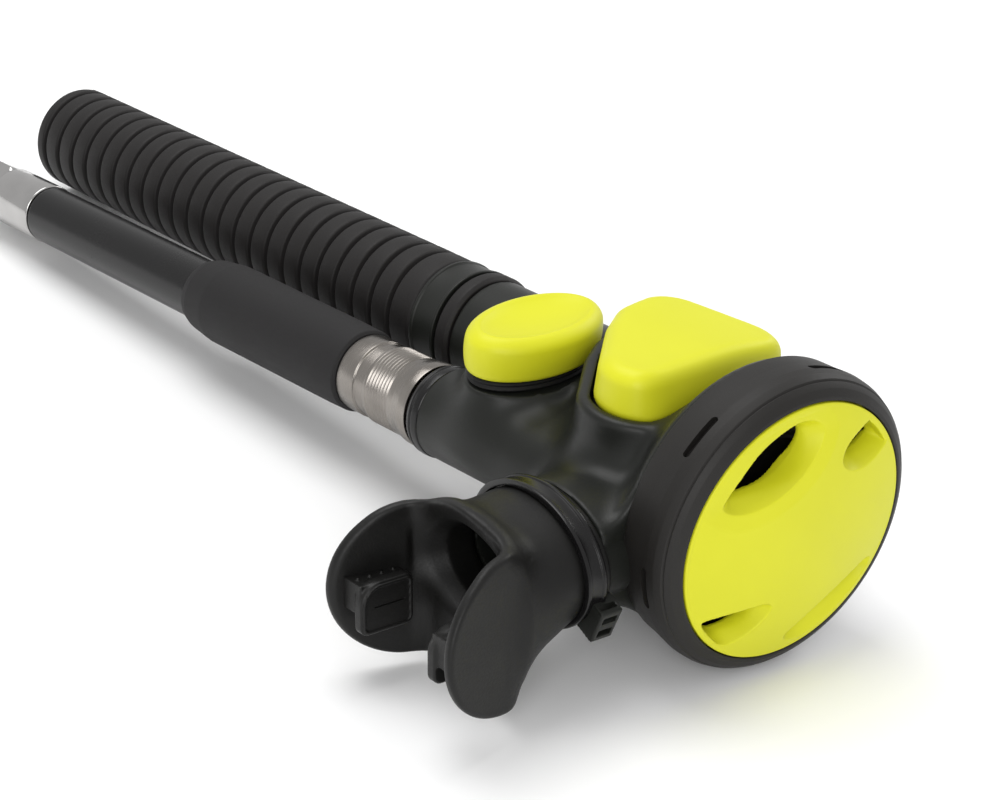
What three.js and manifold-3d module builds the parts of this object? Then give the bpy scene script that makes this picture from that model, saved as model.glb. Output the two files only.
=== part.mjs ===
// Alternate second stage with power inflator: a diver's spare regulator built into
// the buoyancy compensator's inflator, on its corrugated and low-pressure hoses.
// Millimetres, +Z up. The case axis runs along +X, out through the purge cover.
// The mouthpiece points along -Y, the buttons along +Z, the hoses along -X.

import * as THREE from 'three';
import { mergeVertices } from 'three/addons/utils/BufferGeometryUtils.js';
import Module from 'manifold-3d';

const wasm = await Module();
wasm.setup();

// ---------------------------------------------------------------- driving sizes

const gap = 0.3; // between pieces that rest on or sit in each other
const past = 5; // how far a cut reaches past what it cuts
const round = 30; // sides of the large turned pieces
const fine = 16; // sides of the small turned pieces

// cover ring and purge cover
const ringRadius = 33;
const ringWidth = 14;
const ringLip = 4.4; // how far the ring's front lip reaches in
const ringLipRadius = ringRadius - ringLip;
const ringLipDepth = 3;
const ringWall = 2.5;
const ringEdge = 1.2; // rounding of the ring's front and back edges
const rimSlotCount = 6;
const rimSlotLength = 10;
const rimSlotWidth = 1.8;
const rimSlotDeep = 1.6;
const rimSlotAt = 7; // behind the ring's front
const rimSlotFirst = 133; // degrees, seen from the front
const coverCrown = 4.2; // how far the purge cover stands out at its middle
const coverThick = 1.6;
const coverFlange = 1.2;
const coverPost = 3.5; // presses on the diaphragm's plate
const coverHoles = [ // centre, half sizes and turn in degrees
  { y: -11.4, z: 19.2, long: 10, short: 4, turn: 30 },
  { y: 14.2, z: 18, long: 4.5, short: 2, turn: 42 },
  { y: -17, z: -14.6, long: 6, short: 1.2, turn: 2 },
  { y: 12.5, z: -18, long: 9, short: 1.2, turn: 32 },
];
const purgeTravel = 2.5;

// case
const caseWall = 2.2;
const caseBack = 40; // depth of the case behind the ring's front
const caseProfile = [ // shares of the depth behind the ring and of the ring's radius
  [0, 0.964],
  [0.09, 0.933],
  [0.23, 0.803],
  [0.42, 0.606],
  [0.65, 0.485],
  [1, 0.424],
];
const chamberProfile = [ // shares of the same depth and of the chamber's radius
  [0.04, 1],
  [0.19, 0.786],
  [0.33, 0.5],
  [0.46, 0.232],
  [0.77, 0.232],
];
const bossRoot = -8; // inside the case, where the bosses and housings start
const portRoot = 22; // inside the case, where the port tubes start
const clampGap = 0.7; // between the pressed cover's flange and the shoulder
const shoulderWidth = 1.1; // the ring's inner shoulder, which clamps the diaphragm
const beadWidth = 1;
const membrane = 0.6;
const plateRadius = 17;
const plateThick = 0.5;
const foldWide = 3; // of the diaphragm's fold round the plate
const beadLip = 0.6; // of the diaphragm's bead over the chamber

// demand valve, on the low-pressure port's axis
const barrelRadius = 5.5;
const barrelBore = 3.9;
const barrelFrom = 6;
const barrelTo = 34;
const barrelSeat = 28.5; // length of the room cut for the barrel
const barrelWindow = { from: 9, to: 4, half: 2 }; // from the barrel's end
const orificeRadius = 1.5;
const orificeLong = 6;
const poppetSeatThick = 1.3;
const poppetStem = 1.2;
const poppetHead = 3.6;
const valveSpringRadius = 2.6;
const valveWire = 0.4;
const leverContact = 1; // y where the lever touches the diaphragm's plate
const leverWire = 0.45;
const leverFootWide = 3.2;
const leverArmWide = 1.6;
const leverPad = 0.8;

// exhaust valve, under the case
const exhaust = { x: -29.5, y: 5 };
const exhaustRadius = 9.5;
const exhaustSeat = -24.5;
const exhaustCoverHigh = 5;
const exhaustHoleRing = 3.6;
const exhaustHoleRadius = 2.2;
const exhaustFlap = 8;
const exhaustStemHole = 1.5;
const exhaustStem = 1.2;
const exhaustStemLong = 5;
const exhaustFlapThick = 1.2;
const exhaustCoverFloor = 1.4;
const exhaustWindow = 3; // half the width of the cover's windows

// hose ports
const portPlane = -55; // x of the plane where the port offsets are given
const airDroop = 4; // degrees, the hoses fall away from the case
const airYaw = 3.55;
const airOffset = { y: 11, z: -2.1 };
const airPortRadius = 13.4;
const airPortReach = 56; // from the port plane to the end of the tube
const airBore = 8.6;
const barbRadius = 10.6;
const barbLength = 17;
const lpDroop = 4.3;
const lpYaw = 4.7;
const lpOffset = { y: -18.9, z: -5.9 };
const lpPortRadius = 10.2;
const lpPortReach = 35;
const lpBore = 5;
const airBoreTo = 3; // how far the hose's bore runs into the case
const webFrom = -38; // x of the web between the two ports
const webTo = -86;
const webTop = 5;
const webBottom = -10.5;

// corrugated hose
const hoseRadius = 14;
const ribHeight = 1.3;
const ribPitch = 7.08;
const ribCount = 23;
const hoseWall = 1.3; // under the grooves
const cuffLength = 19.5;
const cuffRadius = 13.4;
const hosePoints = 8;
const ribsPerBoreRing = 5;
const hoseTie = { at: -65.6, wide: 8.4, thick: 1.2 };
const cuffBead = { at: -58.6, wide: 4, high: 0.9, slope: 0.6 };
const tieSink = 0.6; // depth of the tie's seat in the cuff
const tieLock = { half: 4, from: 0.4, to: 2.6 };

// mouthpiece
const tubeX = -27;
const tubeZ = -6;
const tubeHalfWide = 15.2;
const tubeHalfHigh = 10.3;
const tubeWall = 2.2;
const tubeFrom = 12; // inside the case
const rootReach = 38; // to the shoulder that the rubber sleeve meets
const tubeReach = 49; // how far the body's tube runs out from the case axis
const rubberThick = 2.2;
const mouthReach = 60; // to the mouth side of the flange, round the bore
const flangeThick = 2.6;
const flangeBend = 8; // outer radius of the bend from the flange into the lobes
const flangeBendAt = 9.5; // from the middle of the bore to the middle of the bend
const lobeLean = 14; // degrees, the lobes open outwards
const lobeReach = 80; // how far out the lobes go
const lobeRound = 18; // length of the lobes' round ends
const lobeHalfHigh = 16.7;
const lobeDrop = 6; // middle of the lobes below the tube's axis
const lobeRoll = 7; // degrees
const crestHalfWide = 15; // flange over the bore
const crestHigh = 16;
const notchHalfWide = 15; // between the lobes, under the bore
const notchTop = 11.5;
const mouthBoreWide = 12; // half sizes of the bore through the flange
const mouthBoreHigh = 8.2;
const biteOut = 11; // from the middle of the bore to the near side of a tab
const biteFrom = 65.5;
const biteTo = 78;
const biteHigh = 11;
const biteThick = 2.5;
const biteBridge = 3.2;
const biteDrop = 8; // middle of a tab below the tube's axis
const mouthTieWidth = 4.8;
const mouthTieThick = 1.4;
const mouthTieAt = 43;
const tieHead = { wide: 5.2, high: 8, deep: 6, at: 0.86, turn: 22, back: 2 };
const skirt = { from: 46, to: 57.5, wider: 1.06, higher: 1.36, drop: 5 }; // under the sleeve

// inflate button (oval)
const inflate = { x: -73.3, y: -10.9, turn: 8.6 };
const inflateHalfLong = 18.4;
const inflateHalfShort = 11.2;
const inflateHigh = 9;
const inflateDish = 2.2;
const inflateSide = 0.9; // how far the foot is drawn in from the button's outline
const inflateBevel = 2.4;
const inflateRim = 2; // flat edge left round the dish
const inflateRoof = 1.4; // thickness over the button's hollow
const buttonHollow = 4.6;
const cartridgeRadius = 4.5;
const sleeveBottom = -3;
const sleeveTop = 6.5;
const inflateSeatThick = 1.6;
const stemRadius = 1.1;
const stemHead = { radius: 2.2, high: 0.9 };
const airWay = 1.4; // half width of the passages on each side of the cartridge
const inletHeight = -5.2;
const outletHeight = -1.5;
const inflateBase = 10.2; // underside of the button at rest
const inflateTravel = 2.5;
const bootHigh = 3.4;
const bootWall = 1.7;

// deflate button (a triangle with round corners and a full side towards the hoses)
const deflateCorners = [
  { x: -34, y: -14.5 },
  { x: -37, y: 14.5 },
  { x: -52.6, y: 9 },
  { x: -47, y: -3 },
];
const deflateCornerRadius = 8.2;
const deflateHigh = 11.5;
const deflateBase = 14.5;
const deflateTravel = 3;
const deflateWell = 6; // depth of the recess that the button sinks into
const deflateRim = 2.4;
const deflateLip = 1.6; // how far the housing stands over the button's foot
const wellMargin = 0.5; // round the button in its well
const deflateBevel = 2.4;
const deflateRoof = 3; // thickness over the button's hollow
const deflateHollow = 5.5;
const deflateValve = { x: -41.5, y: 4 };
const deflateBore = 7;
const deflateSeat = { top: 3, bottom: 1.6, radius: 4.6 };
const deflateBottom = -7;
const deflateGuideThick = 1.7;
const deflateHead = { radius: 2.6, high: 0.9 };
const caseVent = { to: -20, half: 1.8, from: 3.4, top: 6.2 };
const hoseVent = { from: -54, to: -44, near: 1.5, far: 9, low: -6.5, high: 0.8 };

// quick coupling on the low-pressure hose, places along its axis from the port plane
const nippleRadius = 5.4;
const nippleThread = 4.6;
const nippleLength = 20;
const nippleInto = 6; // length of the thread in the port
const nippleHex = { radius: 7, thick: 2 };
const nippleGroove = 1.2; // depth of the grooves for the balls and the O-ring
const passageRadius = 2.5; // bore of the nipple, the coupler's tail and the fitting
const couplerFront = -38.5;
const couplerRadius = 8;
const couplerNeck = 6.5;
const couplerStep = 3.3; // behind the balls
const couplerTail = 6.4; // radius of the coupler inside the sleeve
const springChamber = 4.2;
const chamberLength = 1.8; // of the tail inside the ferrule, up to the spring's chamber
const checkSeat = { back: 0.4, thick: 1.2, bore: 1.7 };
const checkHead = { radius: 3.4, thick: 1.5 };
const checkStem = 0.9;
const bandFrom = -55.6;
const bandTo = -61.3;
const bandRadius = 9.1;
const collarFrom = -36.3;
const collarTo = -51.8;
const collarRadius = 9.4;
const collarFlare = 9.9;
const collarTravel = 3.5;
const collarGrooves = 8;
const groovePitch = 1;
const collarTaper = 5;
const collarLip = { gap: 0.4, thick: 1 };
const ballAt = -43.2;
const ballRadius = 1.5;
const ballCount = 4;

// low-pressure hose
const lpHoseRadius = 7.2;
const protectorRadius = 10;
const protectorLength = 62;
const protectorWall = 1.8;
const ferruleRadius = 7.7;
const tailRadius = 4.6; // the hose is crimped on it
const nearFerruleFrom = -66.3;
const ferruleLength = 18;
const lpHoseLength = 111;
const fittingHex = 14.3; // across flats
const threadRadius = 4.7;
const threadLength = 9;
const hexLength = 8;
const fittingGroove = { long: 2.4, deep: 1.1 };
const shoulderRelief = { margin: 0.6, deep: 0.5 }; // round the thread, in the hexagon's face

// ---------------------------------------------------------------- solid modelling

const degrees = Math.PI / 180;

function material(color, roughness, metalness) {
  return new THREE.MeshStandardMaterial({ color, roughness, metalness });
}

const blackPlastic = () => material(0x1b1c1b, 0.5, 0);
const blackRubber = () => material(0x201f20, 0.75, 0);
const glossRubber = () => material(0x131214, 0.35, 0);
const yellowPlastic = () => material(0xd9d82a, 0.45, 0);
const silicone = () => material(0x171817, 0.55, 0);
const clearSilicone = () => material(0xb9bfc2, 0.5, 0);
const steel = () => material(0xa7a4a0, 0.25, 1);
const brass = () => material(0xb6a46a, 0.3, 1);

// a closed manifold solid from any closed three.js geometry
function solid(geometry) {
  const plain = geometry.clone();
  plain.deleteAttribute('normal');
  plain.deleteAttribute('uv');
  const merged = mergeVertices(plain, 1e-4);
  const points = merged.attributes.position.array;
  const corners = [];
  const index = merged.index.array;
  for (let i = 0; i < index.length; i += 3) {
    const [a, b, c] = [index[i], index[i + 1], index[i + 2]];
    if (a !== b && b !== c && c !== a) corners.push(a, b, c);
  }
  let volume = 0;
  const p = [new THREE.Vector3(), new THREE.Vector3(), new THREE.Vector3()];
  for (let i = 0; i < corners.length; i += 3) {
    for (let k = 0; k < 3; k += 1) p[k].fromArray(points, corners[i + k] * 3);
    volume += p[0].dot(p[1].clone().cross(p[2]));
  }
  if (volume < 0) corners.reverse();
  return new wasm.Manifold(new wasm.Mesh({
    numProp: 3,
    vertProperties: Float32Array.from(points),
    triVerts: Uint32Array.from(corners),
  }));
}

function geometryOf(manifold) {
  const mesh = manifold.getMesh();
  const geometry = new THREE.BufferGeometry();
  geometry.setAttribute('position', new THREE.BufferAttribute(mesh.vertProperties, 3));
  geometry.setIndex(new THREE.BufferAttribute(mesh.triVerts, 1));
  return geometry;
}

function join(first, ...others) {
  return others.reduce((sum, other) => sum.add(other), first);
}

function cut(first, ...others) {
  return others.reduce((rest, other) => rest.subtract(other), first);
}

// a profile of [x, r] points turned about the X axis
function turned(profile, sides = fine) {
  const points = profile.map(([x, r]) => new THREE.Vector2(r, x));
  const geometry = new THREE.LatheGeometry(points, sides);
  geometry.rotateZ(-Math.PI / 2);
  return solid(geometry);
}

// a ring of profile [x, r], which closes on itself
function turnedRing(profile, sides = fine) {
  return turned([...profile, profile[0]], sides);
}

function tube(x0, x1, outer, inner, sides = fine) {
  return turnedRing([[x0, inner], [x0, outer], [x1, outer], [x1, inner]], sides);
}

function rod(x0, x1, radius, sides = fine) {
  return turned([[x0, 0], [x0, radius], [x1, radius], [x1, 0]], sides);
}

function torus(x, radius, section, sides = fine) {
  const geometry = new THREE.TorusGeometry(radius, section, 6, sides);
  geometry.rotateY(Math.PI / 2);
  geometry.translate(x, 0, 0);
  return solid(geometry);
}

function moved(manifold, x, y, z) {
  return manifold.translate([x, y, z]);
}

// turns a solid made along X so that it runs along Z
function upright(manifold) {
  return manifold.rotate([0, -90, 0]);
}

function prism(shape, z0, z1, bevel = 0, bevelSegments = 2) {
  const geometry = new THREE.ExtrudeGeometry(shape, {
    depth: z1 - z0 - 2 * bevel,
    bevelEnabled: bevel > 0,
    bevelThickness: bevel,
    bevelSize: bevel,
    bevelOffset: -bevel,
    bevelSegments,
    curveSegments: 8,
  });
  geometry.translate(0, 0, z0 + bevel);
  return solid(geometry);
}

function ovalShape(halfX, halfY) {
  const shape = new THREE.Shape();
  shape.absellipse(0, 0, halfX, halfY, 0, 2 * Math.PI);
  return shape;
}

function polygonShape(radius, sides) {
  const shape = new THREE.Shape();
  for (let i = 0; i < sides; i += 1) {
    const angle = (i / sides) * 2 * Math.PI;
    if (i === 0) shape.moveTo(radius, 0);
    else shape.lineTo(radius * Math.cos(angle), radius * Math.sin(angle));
  }
  shape.closePath();
  return shape;
}

function box(x0, x1, y0, y1, z0, z1) {
  const geometry = new THREE.BoxGeometry(x1 - x0, y1 - y0, z1 - z0);
  geometry.translate((x0 + x1) / 2, (y0 + y1) / 2, (z0 + z1) / 2);
  return solid(geometry);
}

// a coil spring along X, with its end turns cut square
function spring(x0, x1, radius, wire, turns) {
  const steps = turns * 8;
  const points = [];
  const run = x1 - x0 - 2 * wire;
  for (let i = 0; i <= steps; i += 1) {
    const angle = (i / 8) * 2 * Math.PI;
    const along = x0 + wire + run * (i / steps);
    points.push(new THREE.Vector3(along, radius * Math.cos(angle), radius * Math.sin(angle)));
  }
  const geometry = new THREE.ExtrudeGeometry(polygonShape(wire, 5), {
    steps,
    extrudePath: new THREE.CatmullRomCurve3(points),
    bevelEnabled: false,
  });
  return solid(geometry);
}

// ---------------------------------------------------------------- shared places

const ringBack = -ringWidth;
const flangeRadius = ringRadius - ringWall - 2 * gap;
const flangeBack = -ringLipDepth - gap - coverFlange;
const shoulderFront = flangeBack - purgeTravel - clampGap;
const beadFront = shoulderFront - shoulderWidth - gap;
const rimFront = beadFront - beadWidth - gap;
const membraneFront = beadFront - 0.4;
const plateFront = membraneFront - membrane - gap;
const rimRadius = ringRadius - ringWall - gap;
const chamberRadius = rimRadius - caseWall;
const rubberHalfWide = tubeHalfWide + rubberThick;
const rubberHalfHigh = tubeHalfHigh + rubberThick;
const deflateTop = deflateBase + deflateHigh;
const deflateFloor = deflateBase - deflateWell;
const deflateBoss = deflateBase + deflateLip;
const inflateTop = inflateBase + inflateHigh;
const inflateCeiling = inflateTop - inflateDish - inflateRoof;
const inflateSeatBottom = sleeveBottom - inflateSeatThick;
const stemBottom = inflateSeatBottom - gap - stemHead.high;
const cartridgeFloor = stemBottom - inflateTravel - gap;

// puts a solid made along X on a hose port's axis
function onPort(manifold, offset, yaw, droop) {
  return manifold.rotate([0, -droop, yaw]).translate([portPlane, offset.y, offset.z]);
}

const onAir = (manifold) => onPort(manifold, airOffset, airYaw, airDroop);
const onLp = (manifold) => onPort(manifold, lpOffset, lpYaw, lpDroop);

// puts a solid made along Z on the mouthpiece's axis, which points along -Y
const onMouth = (manifold) => manifold.rotate([90, 0, 0]).translate([tubeX, 0, tubeZ]);

const onInflate = (manifold) => manifold.rotate([0, 0, inflate.turn])
  .translate([inflate.x, inflate.y, 0]);

const onDeflate = (manifold) => moved(manifold, deflateValve.x, deflateValve.y, 0);

const onExhaust = (manifold) => moved(manifold, exhaust.x, exhaust.y, 0);

const inflateFoot = (margin) => ovalShape(
  inflateHalfShort - inflateSide + margin,
  inflateHalfLong - inflateSide + margin,
);

// the deflate button's outline, grown by the given margin
function deflateShape(margin) {
  const radius = deflateCornerRadius + margin;
  const count = deflateCorners.length;
  const shape = new THREE.Shape();
  deflateCorners.forEach((corner, i) => {
    const before = deflateCorners[(i + count - 1) % count];
    const after = deflateCorners[(i + 1) % count];
    const from = Math.atan2(corner.y - before.y, corner.x - before.x) - Math.PI / 2;
    const to = Math.atan2(after.y - corner.y, after.x - corner.x) - Math.PI / 2;
    shape.absarc(corner.x, corner.y, radius, from, to, false);
  });
  shape.closePath();
  return shape;
}

// ---------------------------------------------------------------- case

// x at a share of the case's depth behind the ring
const behindRing = (share) => ringBack - gap - share * (caseBack - ringWidth - gap);

function caseOutside() {
  const dome = turned([
    [rimFront, 0],
    [rimFront, rimRadius],
    [ringBack - gap, rimRadius],
    ...caseProfile.map(([back, wide]) => [behindRing(back), wide * ringRadius]),
    [-caseBack, 0],
  ], round);
  const ringSpace = turned([
    [rimFront, 0],
    [rimFront, rimRadius],
    [ringBack - gap, rimRadius],
    [ringBack - gap, ringRadius + past],
    [past, ringRadius + past],
    [past, 0],
  ], round);
  const mouthRoot = onMouth(
    prism(ovalShape(rubberHalfWide, rubberHalfHigh), tubeFrom, rootReach),
  );
  const mouthTube = onMouth(prism(ovalShape(tubeHalfWide, tubeHalfHigh), tubeFrom, tubeReach));
  const lpTube = onLp(rod(-lpPortReach, portRoot, lpPortRadius, round));
  const airTube = onAir(rod(-airPortReach, portRoot, airPortRadius, round));
  const barb = onAir(rod(-airPortReach - barbLength, -airPortReach + 1, barbRadius));
  const web = box(webTo, webFrom, lpOffset.y, airOffset.y, webBottom, webTop);
  const inflateBoss = onInflate(
    prism(inflateFoot(0), bossRoot, inflateBase - bootHigh),
  );
  const deflateHousing = prism(deflateShape(gap + deflateRim), bossRoot, deflateBoss);
  const exhaustBoss = onExhaust(upright(rod(exhaustSeat, bossRoot, exhaustRadius)));
  const exhaustPocket = upright(
    rod(exhaustSeat - exhaustCoverHigh - past, exhaustSeat, exhaustRadius + gap),
  );
  return cut(
    join(dome, mouthRoot, mouthTube, lpTube, airTube, barb, web, inflateBoss, deflateHousing,
      exhaustBoss),
    ringSpace,
    onExhaust(exhaustPocket),
  );
}

function caseInside() {
  const chamber = turned([
    [past, 0],
    [past, chamberRadius],
    ...chamberProfile.map(([back, wide]) => [behindRing(back), wide * chamberRadius]),
    [behindRing(chamberProfile[chamberProfile.length - 1][0]), 0],
  ], round);
  const mouthBore = onMouth(
    prism(
      ovalShape(tubeHalfWide - tubeWall, tubeHalfHigh - tubeWall),
      tubeFrom - past,
      tubeReach + past,
    ),
  );
  const lpHole = onLp(rod(-lpPortReach - past, barrelFrom, lpBore));
  const seat = onLp(rod(barrelFrom - gap, barrelFrom + barrelSeat, barrelRadius + gap));
  const airHole = onAir(rod(-airPortReach - barbLength - past, airBoreTo, airBore));
  return [chamber, mouthBore, lpHole, seat, airHole];
}

function inflateHoles() {
  const cartridge = onInflate(upright(rod(cartridgeFloor, inflateBase, cartridgeRadius)));
  const pocket = onInflate(prism(
    ovalShape(inflateHalfShort + gap, inflateHalfLong + gap),
    inflateBase - bootHigh,
    inflateBase + inflateHigh,
  ));
  const across = (y0, y1, z) => box(
    inflate.x - airWay, inflate.x + airWay,
    y0, y1,
    z - airWay, z + airWay,
  );
  return [
    pocket,
    cartridge,
    across(lpOffset.y, inflate.y, inletHeight),
    across(inflate.y, airOffset.y, outletHeight),
  ];
}

function deflateHoles() {
  const well = prism(deflateShape(wellMargin), deflateFloor, deflateTop + past);
  const upper = onDeflate(upright(rod(deflateSeat.top, deflateFloor + gap, deflateBore)));
  const lower = onDeflate(upright(rod(deflateBottom, deflateSeat.bottom, deflateBore)));
  const seat = onDeflate(upright(rod(deflateBottom, deflateFloor, deflateSeat.radius)));
  const toCase = box(
    deflateValve.x, caseVent.to,
    deflateValve.y - caseVent.half, deflateValve.y + caseVent.half,
    caseVent.from, caseVent.top,
  );
  const toHose = box(
    hoseVent.from, hoseVent.to,
    hoseVent.near, hoseVent.far,
    hoseVent.low, hoseVent.high,
  );
  return [well, upper, lower, seat, toCase, toHose];
}

function exhaustHoles() {
  const stemHole = upright(
    rod(exhaustSeat - past, exhaustSeat + exhaustStemLong + gap, exhaustStemHole),
  );
  const holes = [onExhaust(stemHole)];
  for (let i = 0; i < 4; i += 1) {
    const angle = (45 + 90 * i) * degrees;
    const hole = upright(rod(exhaustSeat - past, 0, exhaustHoleRadius));
    const x = exhaust.x + exhaustHoleRing * Math.cos(angle);
    const y = exhaust.y + exhaustHoleRing * Math.sin(angle);
    holes.push(moved(hole, x, y, 0));
  }
  return holes;
}

function bodyShell() {
  return cut(
    caseOutside(),
    ...caseInside(),
    ...inflateHoles(),
    ...deflateHoles(),
    ...exhaustHoles(),
  );
}

function coverRing() {
  const ring = turnedRing([
    [0, ringLipRadius],
    [-ringEdge / 2, ringLipRadius + ringEdge],
    [-2 * ringEdge, ringRadius - ringEdge],
    [-4 * ringEdge, ringRadius - gap],
    [-7 * ringEdge, ringRadius],
    [ringBack, ringRadius - ringEdge],
    [ringBack, rimRadius + gap],
    [shoulderFront - shoulderWidth, rimRadius + gap],
    [shoulderFront - shoulderWidth, ringLipRadius],
    [shoulderFront, ringLipRadius],
    [shoulderFront, rimRadius + gap],
    [-ringLipDepth, rimRadius + gap],
    [-ringLipDepth, ringLipRadius],
  ], 32);
  const slots = [];
  for (let i = 0; i < rimSlotCount; i += 1) {
    const slot = box(
      -rimSlotAt - rimSlotWidth / 2, -rimSlotAt + rimSlotWidth / 2,
      -rimSlotLength / 2, rimSlotLength / 2,
      ringRadius - rimSlotDeep, ringRadius + past,
    );
    slots.push(slot.rotate([rimSlotFirst - 90 + (360 / rimSlotCount) * i, 0, 0]));
  }
  return cut(ring, ...slots);
}

// x of the purge cover's outside at a radius
function crownAt(radius) {
  return coverCrown * (1 - (radius / (ringLipRadius - gap)) ** 2);
}

function purgeCover() {
  const edge = ringLipRadius - gap;
  const outside = [];
  const inside = [];
  for (let i = 0; i <= 4; i += 1) {
    const radius = (edge * i) / 4;
    outside.push([crownAt(radius), radius]);
    inside.push([crownAt(radius) - coverThick, Math.min(radius, edge - coverThick)]);
  }
  const dome = turned([
    ...outside,
    [-ringLipDepth - gap, edge],
    [-ringLipDepth - gap, flangeRadius],
    [flangeBack, flangeRadius],
    [flangeBack, edge - coverThick],
    ...inside.reverse(),
  ], round);
  const post = rod(membraneFront + gap, coverCrown - coverThick / 2, coverPost);
  const holes = coverHoles.map(({ y, z, long, short, turn }) => prism(
    ovalShape(long, short),
    -ringLipDepth,
    coverCrown + past,
  ).rotate([0, 0, turn]).rotate([90, 0, 90]).translate([0, y, z]));
  return cut(join(dome, post), ...holes);
}

function diaphragm() {
  const foldFrom = plateRadius + foldWide;
  const foldTo = plateRadius + 2 * foldWide;
  return turned([
    [membraneFront, 0],
    [membraneFront, plateRadius],
    [membraneFront + gap, foldFrom],
    [membraneFront, foldTo],
    [beadFront, chamberRadius - beadLip],
    [beadFront, flangeRadius],
    [beadFront - beadWidth, flangeRadius],
    [beadFront - beadWidth, chamberRadius - beadLip],
    [membraneFront - membrane, foldTo],
    [membraneFront - membrane + gap, foldFrom],
    [membraneFront - membrane, plateRadius],
    [membraneFront - membrane, 0],
  ], round);
}

const diaphragmPlate = () => rod(plateFront - plateThick, plateFront, plateRadius, round);

// ---------------------------------------------------------------- demand valve

function valveBarrel() {
  const barrel = turnedRing([
    [barrelFrom, barrelBore],
    [barrelFrom, barrelRadius],
    [barrelTo, barrelRadius],
    [barrelTo, poppetStem + gap],
    [barrelTo - 1, poppetStem + gap],
    [barrelTo - 1, barrelBore],
  ]);
  const window = box(
    barrelTo - barrelWindow.from, barrelTo - barrelWindow.to,
    -barrelWindow.half, barrelWindow.half,
    -barrelRadius - past, barrelRadius + past,
  );
  return cut(barrel, window);
}

const orificeTip = barrelFrom + orificeLong;
const orificeGroove = barrelFrom + 2;
const seatFront = orificeTip + gap;
const headFront = seatFront + gap;
const headBack = headFront + 3;
const nutFront = barrelTo + gap + 1 + gap;
const nutLength = 1.8;

function valveOrifice() {
  const outer = barrelBore - gap;
  return turnedRing([
    [barrelFrom + 0.6, orificeRadius],
    [barrelFrom + 0.6, outer],
    [orificeGroove, outer],
    [orificeGroove, outer - 1.1],
    [orificeGroove + 1.6, outer - 1.1],
    [orificeGroove + 1.6, outer],
    [orificeTip - 1.2, outer],
    [orificeTip, orificeRadius + 0.7],
    [orificeTip, orificeRadius],
  ]);
}

const orificeOring = () => torus(orificeGroove + 0.8, barrelBore - 0.7, 0.4, 16);

const poppetSeat = () => rod(seatFront, seatFront + poppetSeatThick, poppetHead - 1, fine);

function poppet() {
  return turned([
    [seatFront + poppetSeatThick + gap, 0],
    [seatFront + poppetSeatThick + gap, poppetHead - 0.7],
    [headFront, poppetHead - 0.7],
    [headFront, poppetHead],
    [headBack, poppetHead],
    [headBack, poppetStem],
    [nutFront + nutLength + 0.4, poppetStem],
    [nutFront + nutLength + 0.4, 0],
  ], 16);
}

const poppetSpring = () => spring(
  headBack + gap,
  barrelTo - 1 - gap,
  valveSpringRadius,
  valveWire,
  6,
);

function leverNut() {
  const hex = rod(nutFront, nutFront + nutLength, 3, 6);
  return cut(hex, rod(nutFront - 1, nutFront + nutLength + 1, poppetStem + gap, 16));
}

// a point of the case, at the height of the demand valve, in the valve's own frame
function inValve(x, y) {
  const dx = x - portPlane;
  const dy = y - lpOffset.y;
  const yaw = lpYaw * degrees;
  const along = dx * Math.cos(yaw) + dy * Math.sin(yaw);
  const across = -dx * Math.sin(yaw) + dy * Math.cos(yaw);
  return { x: along / Math.cos(lpDroop * degrees), y: across };
}

// a flat bar with round ends, in the plane of the lever
function bar(from, to, radius, halfWide) {
  const angle = Math.atan2(to.y - from.y, to.x - from.x);
  const shape = new THREE.Shape();
  shape.absarc(from.x, from.y, radius, angle + Math.PI / 2, angle + 1.5 * Math.PI, false);
  shape.absarc(to.x, to.y, radius, angle - Math.PI / 2, angle + Math.PI / 2, false);
  shape.closePath();
  return prism(shape, -halfWide, halfWide);
}

const leverPivot = { x: barrelTo + gap, y: barrelRadius - 0.1 };

function demandLever() {
  const footTop = leverPivot.y + 0.2;
  const foot = cut(
    box(leverPivot.x, leverPivot.x + 1, -0.8, footTop, -leverFootWide, leverFootWide),
    box(leverPivot.x - 1, leverPivot.x + 2, -2, poppetStem + gap, -poppetStem - gap,
      poppetStem + gap),
  );
  const heel = { x: leverPivot.x + 0.5, y: leverPivot.y - 0.2 };
  const knee = { x: heel.x + 2.2, y: heel.y + 4.3 };
  const tip = inValve(plateFront - plateThick - gap - leverPad, leverContact);
  return join(
    foot,
    bar(heel, knee, leverWire, leverArmWide),
    bar(knee, tip, leverWire, leverArmWide),
    bar(tip, { x: tip.x, y: tip.y + 0.5 }, leverPad, leverArmWide),
  );
}

// ---------------------------------------------------------------- exhaust valve

function exhaustValve() {
  const top = exhaustSeat - gap;
  return upright(turned([
    [top + exhaustStemLong, 0],
    [top + exhaustStemLong, exhaustStem],
    [top, exhaustStem],
    [top, exhaustFlap - gap],
    [top - exhaustFlapThick + gap, exhaustFlap],
    [top - exhaustFlapThick, exhaustFlap],
    [top - exhaustFlapThick, 0],
  ], fine));
}

function exhaustCover() {
  const top = exhaustSeat - gap;
  const bottom = top - exhaustCoverHigh;
  const cup = upright(turned([
    [bottom, 0],
    [bottom, exhaustRadius - 1],
    [bottom + 1, exhaustRadius],
    [top, exhaustRadius],
    [top, exhaustFlap + gap],
    [bottom + exhaustCoverFloor, exhaustFlap + gap],
    [bottom + exhaustCoverFloor, 0],
  ], fine));
  const windows = [];
  for (let i = 0; i < 3; i += 1) {
    const window = box(
      -exhaustRadius - past, exhaustRadius + past,
      -exhaustWindow, exhaustWindow,
      bottom + exhaustCoverFloor + gap, top - exhaustFlapThick,
    );
    windows.push(window.rotate([0, 0, 60 * i]));
  }
  return cut(cup, ...windows);
}

// ---------------------------------------------------------------- mouthpiece

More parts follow.
